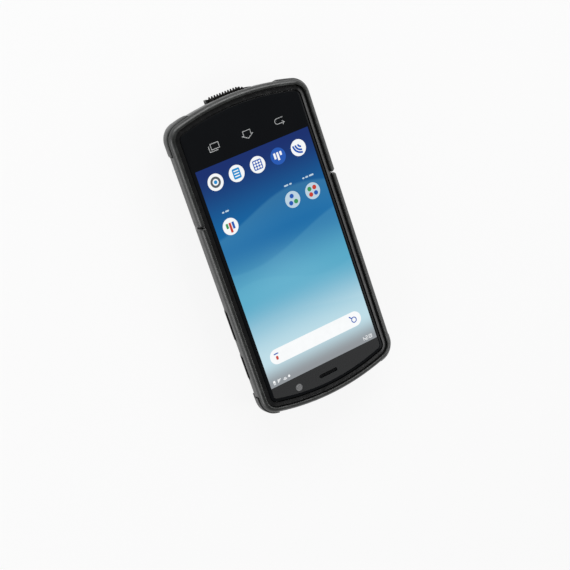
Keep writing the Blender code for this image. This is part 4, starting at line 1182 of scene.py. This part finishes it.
def moulded(name, colour, roughness, grain, depth, level=0.5, worn=None):
    """Plastic or rubber with a fine moulded grain and a slightly uneven tone and sheen.

    Where worn gives two heights, the edges between them are rubbed paler in patches.
    """
    nodes = Finish(name)
    tone = nodes.ranged(nodes.noise(TONE_SCALE, 4.0), 0.0, 1.0)
    ground = nodes.blend(tone, tinted(colour, 1 - TONE_SPREAD), tinted(colour, 1 + TONE_SPREAD))
    if worn:
        edges = nodes.ranged(nodes.axes(nodes.place)["Z"], 0.0, 1.0, *worn)
        patches = nodes.ranged(nodes.noise(WEAR_SCALE, 5.0), 0.0, 1.0, *WEAR_EDGES)
        rubbed = nodes.compute("MULTIPLY", edges, patches)
        ground = nodes.blend(rubbed, ground, tinted(colour, WEAR_SHARE))
    sheen = nodes.ranged(nodes.noise(SHEEN_SCALE), roughness - SHEEN_SPREAD, roughness + SHEEN_SPREAD)
    normal = nodes.bump(nodes.noise(grain, 2.0), GRAIN_STRENGTH, depth)
    return nodes.set(Base_Color=ground, Roughness=sheen, Normal=normal, Specular_IOR_Level=level)


def metal(name, colour, roughness, stretch=METAL_LINES):
    """Drawn or turned metal with fine lines along one direction."""
    nodes = Finish(name)
    lines = nodes.noise(METAL_SCALE, 3.0, stretch)
    ground = nodes.blend(nodes.ranged(lines, 0.0, 1.0), tinted(colour, METAL_SHADE), colour)
    sheen = nodes.ranged(lines, roughness - METAL_SPREAD, roughness + METAL_SPREAD)
    return nodes.set(Base_Color=ground, Roughness=sheen, Metallic=1.0)


def polished(name, colour, roughness, level=0.5):
    """Glass over a dark ground, with faint smears in its gloss."""
    nodes = Finish(name)
    smear = nodes.noise(SMEAR_SCALE, 4.0, SMEAR_STRETCH)
    ground = nodes.blend(smear, colour, tinted(colour, SMEAR_SHARE))
    sheen = nodes.ranged(smear, *[roughness * share for share in SMEAR_SPREAD])
    return nodes.set(Base_Color=ground, Roughness=sheen, Specular_IOR_Level=level)


def lit(name, colour):
    """A lit sign, very slightly uneven like a lit panel."""
    nodes = Finish(name)
    tone = nodes.ranged(nodes.noise(SHEEN_SCALE), 0.0, 1.0)
    return nodes.light(nodes.blend(tone, tinted(colour, PANEL_SHADE), colour))


def wallpaper():
    """Blue going over to pale cyan up the screen, with soft rolling bands across it."""
    nodes = Finish("wallpaper")
    axes = nodes.axes(nodes.place)
    half_width, half_length = DISPLAY_WIDTH / 2, DISPLAY_LENGTH / 2
    climb = nodes.ranged(axes["Y"], 0.0, 1.0, DISPLAY_Y - half_length, DISPLAY_Y + half_length)
    ramp = nodes.add("ShaderNodeValToRGB")
    ramp.color_ramp.interpolation = "EASE"
    stops = ramp.color_ramp.elements
    for place, colour in WALLPAPER_STOPS:
        stop = stops.new(place)
        stop.color = srgb(*colour)
    stops.remove(stops[0])
    stops.remove(stops[len(stops) - 1])
    nodes.link(climb, ramp.inputs["Fac"])
    colour = ramp.outputs["Color"]
    for middle, swing, waves, phase, tint in WALLPAPER_BANDS:
        angle = nodes.ranged(axes["X"], phase, phase + waves, -half_width, half_width)
        edge = nodes.compute("MULTIPLY_ADD", nodes.compute("SINE", angle), swing, climb)
        over = nodes.ranged(edge, 0.0, tint, middle - BAND_SOFTNESS, middle + BAND_SOFTNESS)
        fade = nodes.ranged(edge, 1.0, 0.0, middle, middle + BAND_FADE)
        colour = nodes.blend(nodes.compute("MULTIPLY", over, fade), colour, BAND_COLOUR)
    return nodes.light(colour)


def make_materials():
    made = {"wallpaper": wallpaper()}
    for make, finishes in ((moulded, MOULDED), (metal, METALS), (polished, POLISHED)):
        for name, values in finishes.items():
            made[name] = make(name, *values)
    for name, colour in LIT.items():
        made[name] = lit(name, srgb(*colour))
    return made


# Studio and camera


def world():
    """White light from all round, weaker toward the zenith."""
    made = bpy.data.worlds.new("studio")
    bpy.context.scene.world = made
    nodes = Tree(made)
    strength = nodes.ranged(nodes.seen(), WORLD_LIGHT, WORLD_SEEN, 0.0, 1.0)
    axes = nodes.axes(nodes.add("ShaderNodeTexCoord").outputs["Generated"])
    fall = nodes.ranged(axes["Z"], 1.0, ZENITH_SHARE, *ZENITH_HEIGHTS)
    background = nodes.nodes["Background"]
    nodes.link(nodes.compute("MULTIPLY", strength, fall), background.inputs["Strength"])
    background.inputs["Color"].default_value = (1.0, 1.0, 1.0, 1.0)


def floor():
    """A pale floor that is nearly white to the camera and still shows the shadow."""
    span = FLOOR_SPAN / 2
    bm = bmesh.new()
    corners = [(-span, -span), (span, -span), (span, span), (-span, span)]
    bm.faces.new([bm.verts.new((x, y, -FILM)) for x, y in corners])
    made = object_of("floor", bm)
    material = bpy.data.materials.new("floor")
    nodes = Tree(material)
    nodes.nodes.remove(nodes.nodes["Principled BSDF"])
    matt = nodes.add("ShaderNodeBsdfDiffuse")
    matt.inputs["Color"].default_value = FLOOR_COLOUR
    glow = nodes.add("ShaderNodeEmission")
    share = nodes.compute("MULTIPLY", nodes.seen(), FLOOR_GLOW)
    mixed = nodes.add("ShaderNodeMixShader")
    nodes.feed(mixed.inputs, (share, matt.outputs[0], glow.outputs[0]))
    nodes.link(mixed.outputs[0], nodes.nodes["Material Output"].inputs["Surface"])
    made.data.materials.append(material)


def aimed(place, aim, up):
    """The matrix of a lamp or camera at a place that looks at a point."""
    ahead = (Vector(aim) - Vector(place)).normalized()
    right = ahead.cross(Vector(up)).normalized()
    above = right.cross(ahead)
    turn = Matrix((right, above, -ahead)).transposed().to_4x4()
    return Matrix.Translation(place) @ turn


def lamp(name, place, size, power):
    light = bpy.data.lights.new(name, "AREA")
    light.shape = "RECTANGLE"
    light.size, light.size_y = size
    light.energy = power
    made = bpy.data.objects.new(name, light)
    made.matrix_world = aimed(place, CAMERA_AIM, (0, 0, 1))
    made.visible_camera = False
    bpy.context.scene.collection.objects.link(made)


def camera():
    lens = bpy.data.cameras.new("camera")
    lens.lens = CAMERA_LENS
    lens.sensor_width = SENSOR_WIDTH
    lens.sensor_fit = "HORIZONTAL"
    made = bpy.data.objects.new("camera", lens)
    made.matrix_world = aimed(CAMERA_PLACE, CAMERA_AIM, CAMERA_UP)
    bpy.context.scene.collection.objects.link(made)
    bpy.context.scene.camera = made


def dress_nodes(materials):
    """Gives every CAD node the finish of its slot, and blackens the cover's pin."""
    for part in frame["record"]["subparts"]:
        node = frame["nodes"][part["node"]]
        node.data.materials.clear()
        node.data.materials.append(materials[part["material_slot"]])
    pin = frame["nodes"]["port_cover_pin"]
    pin.data.materials.clear()
    pin.data.materials.append(materials["black_steel"])


def main():
    materials = make_materials()
    dress_nodes(materials)
    upper_case(materials["case_polymer"], split_cutter())
    lower_case(materials["case_polymer"], split_cutter())
    bumpers(materials["bumper_rubber"])
    bezel(materials["bezel_plastic"])
    glass(materials["glass_black"])
    screen_picture(materials)
    earpiece_mesh(materials["mesh_black"])
    for name, side, kind in (
        ("scan_key_right", 1, "scan"),
        ("power_key", 1, "upper"),
        ("scan_key_left", -1, "scan"),
        ("volume_rocker", -1, "upper"),
    ):
        side_key(name + "_cap", side, kind, materials["key_rubber"], name)
    port_cover(materials["cover_rubber"])
    world()
    floor()
    for light in LAMPS:
        lamp(*light)
    camera()
    bpy.context.scene.view_settings.view_transform = "Standard"


main()
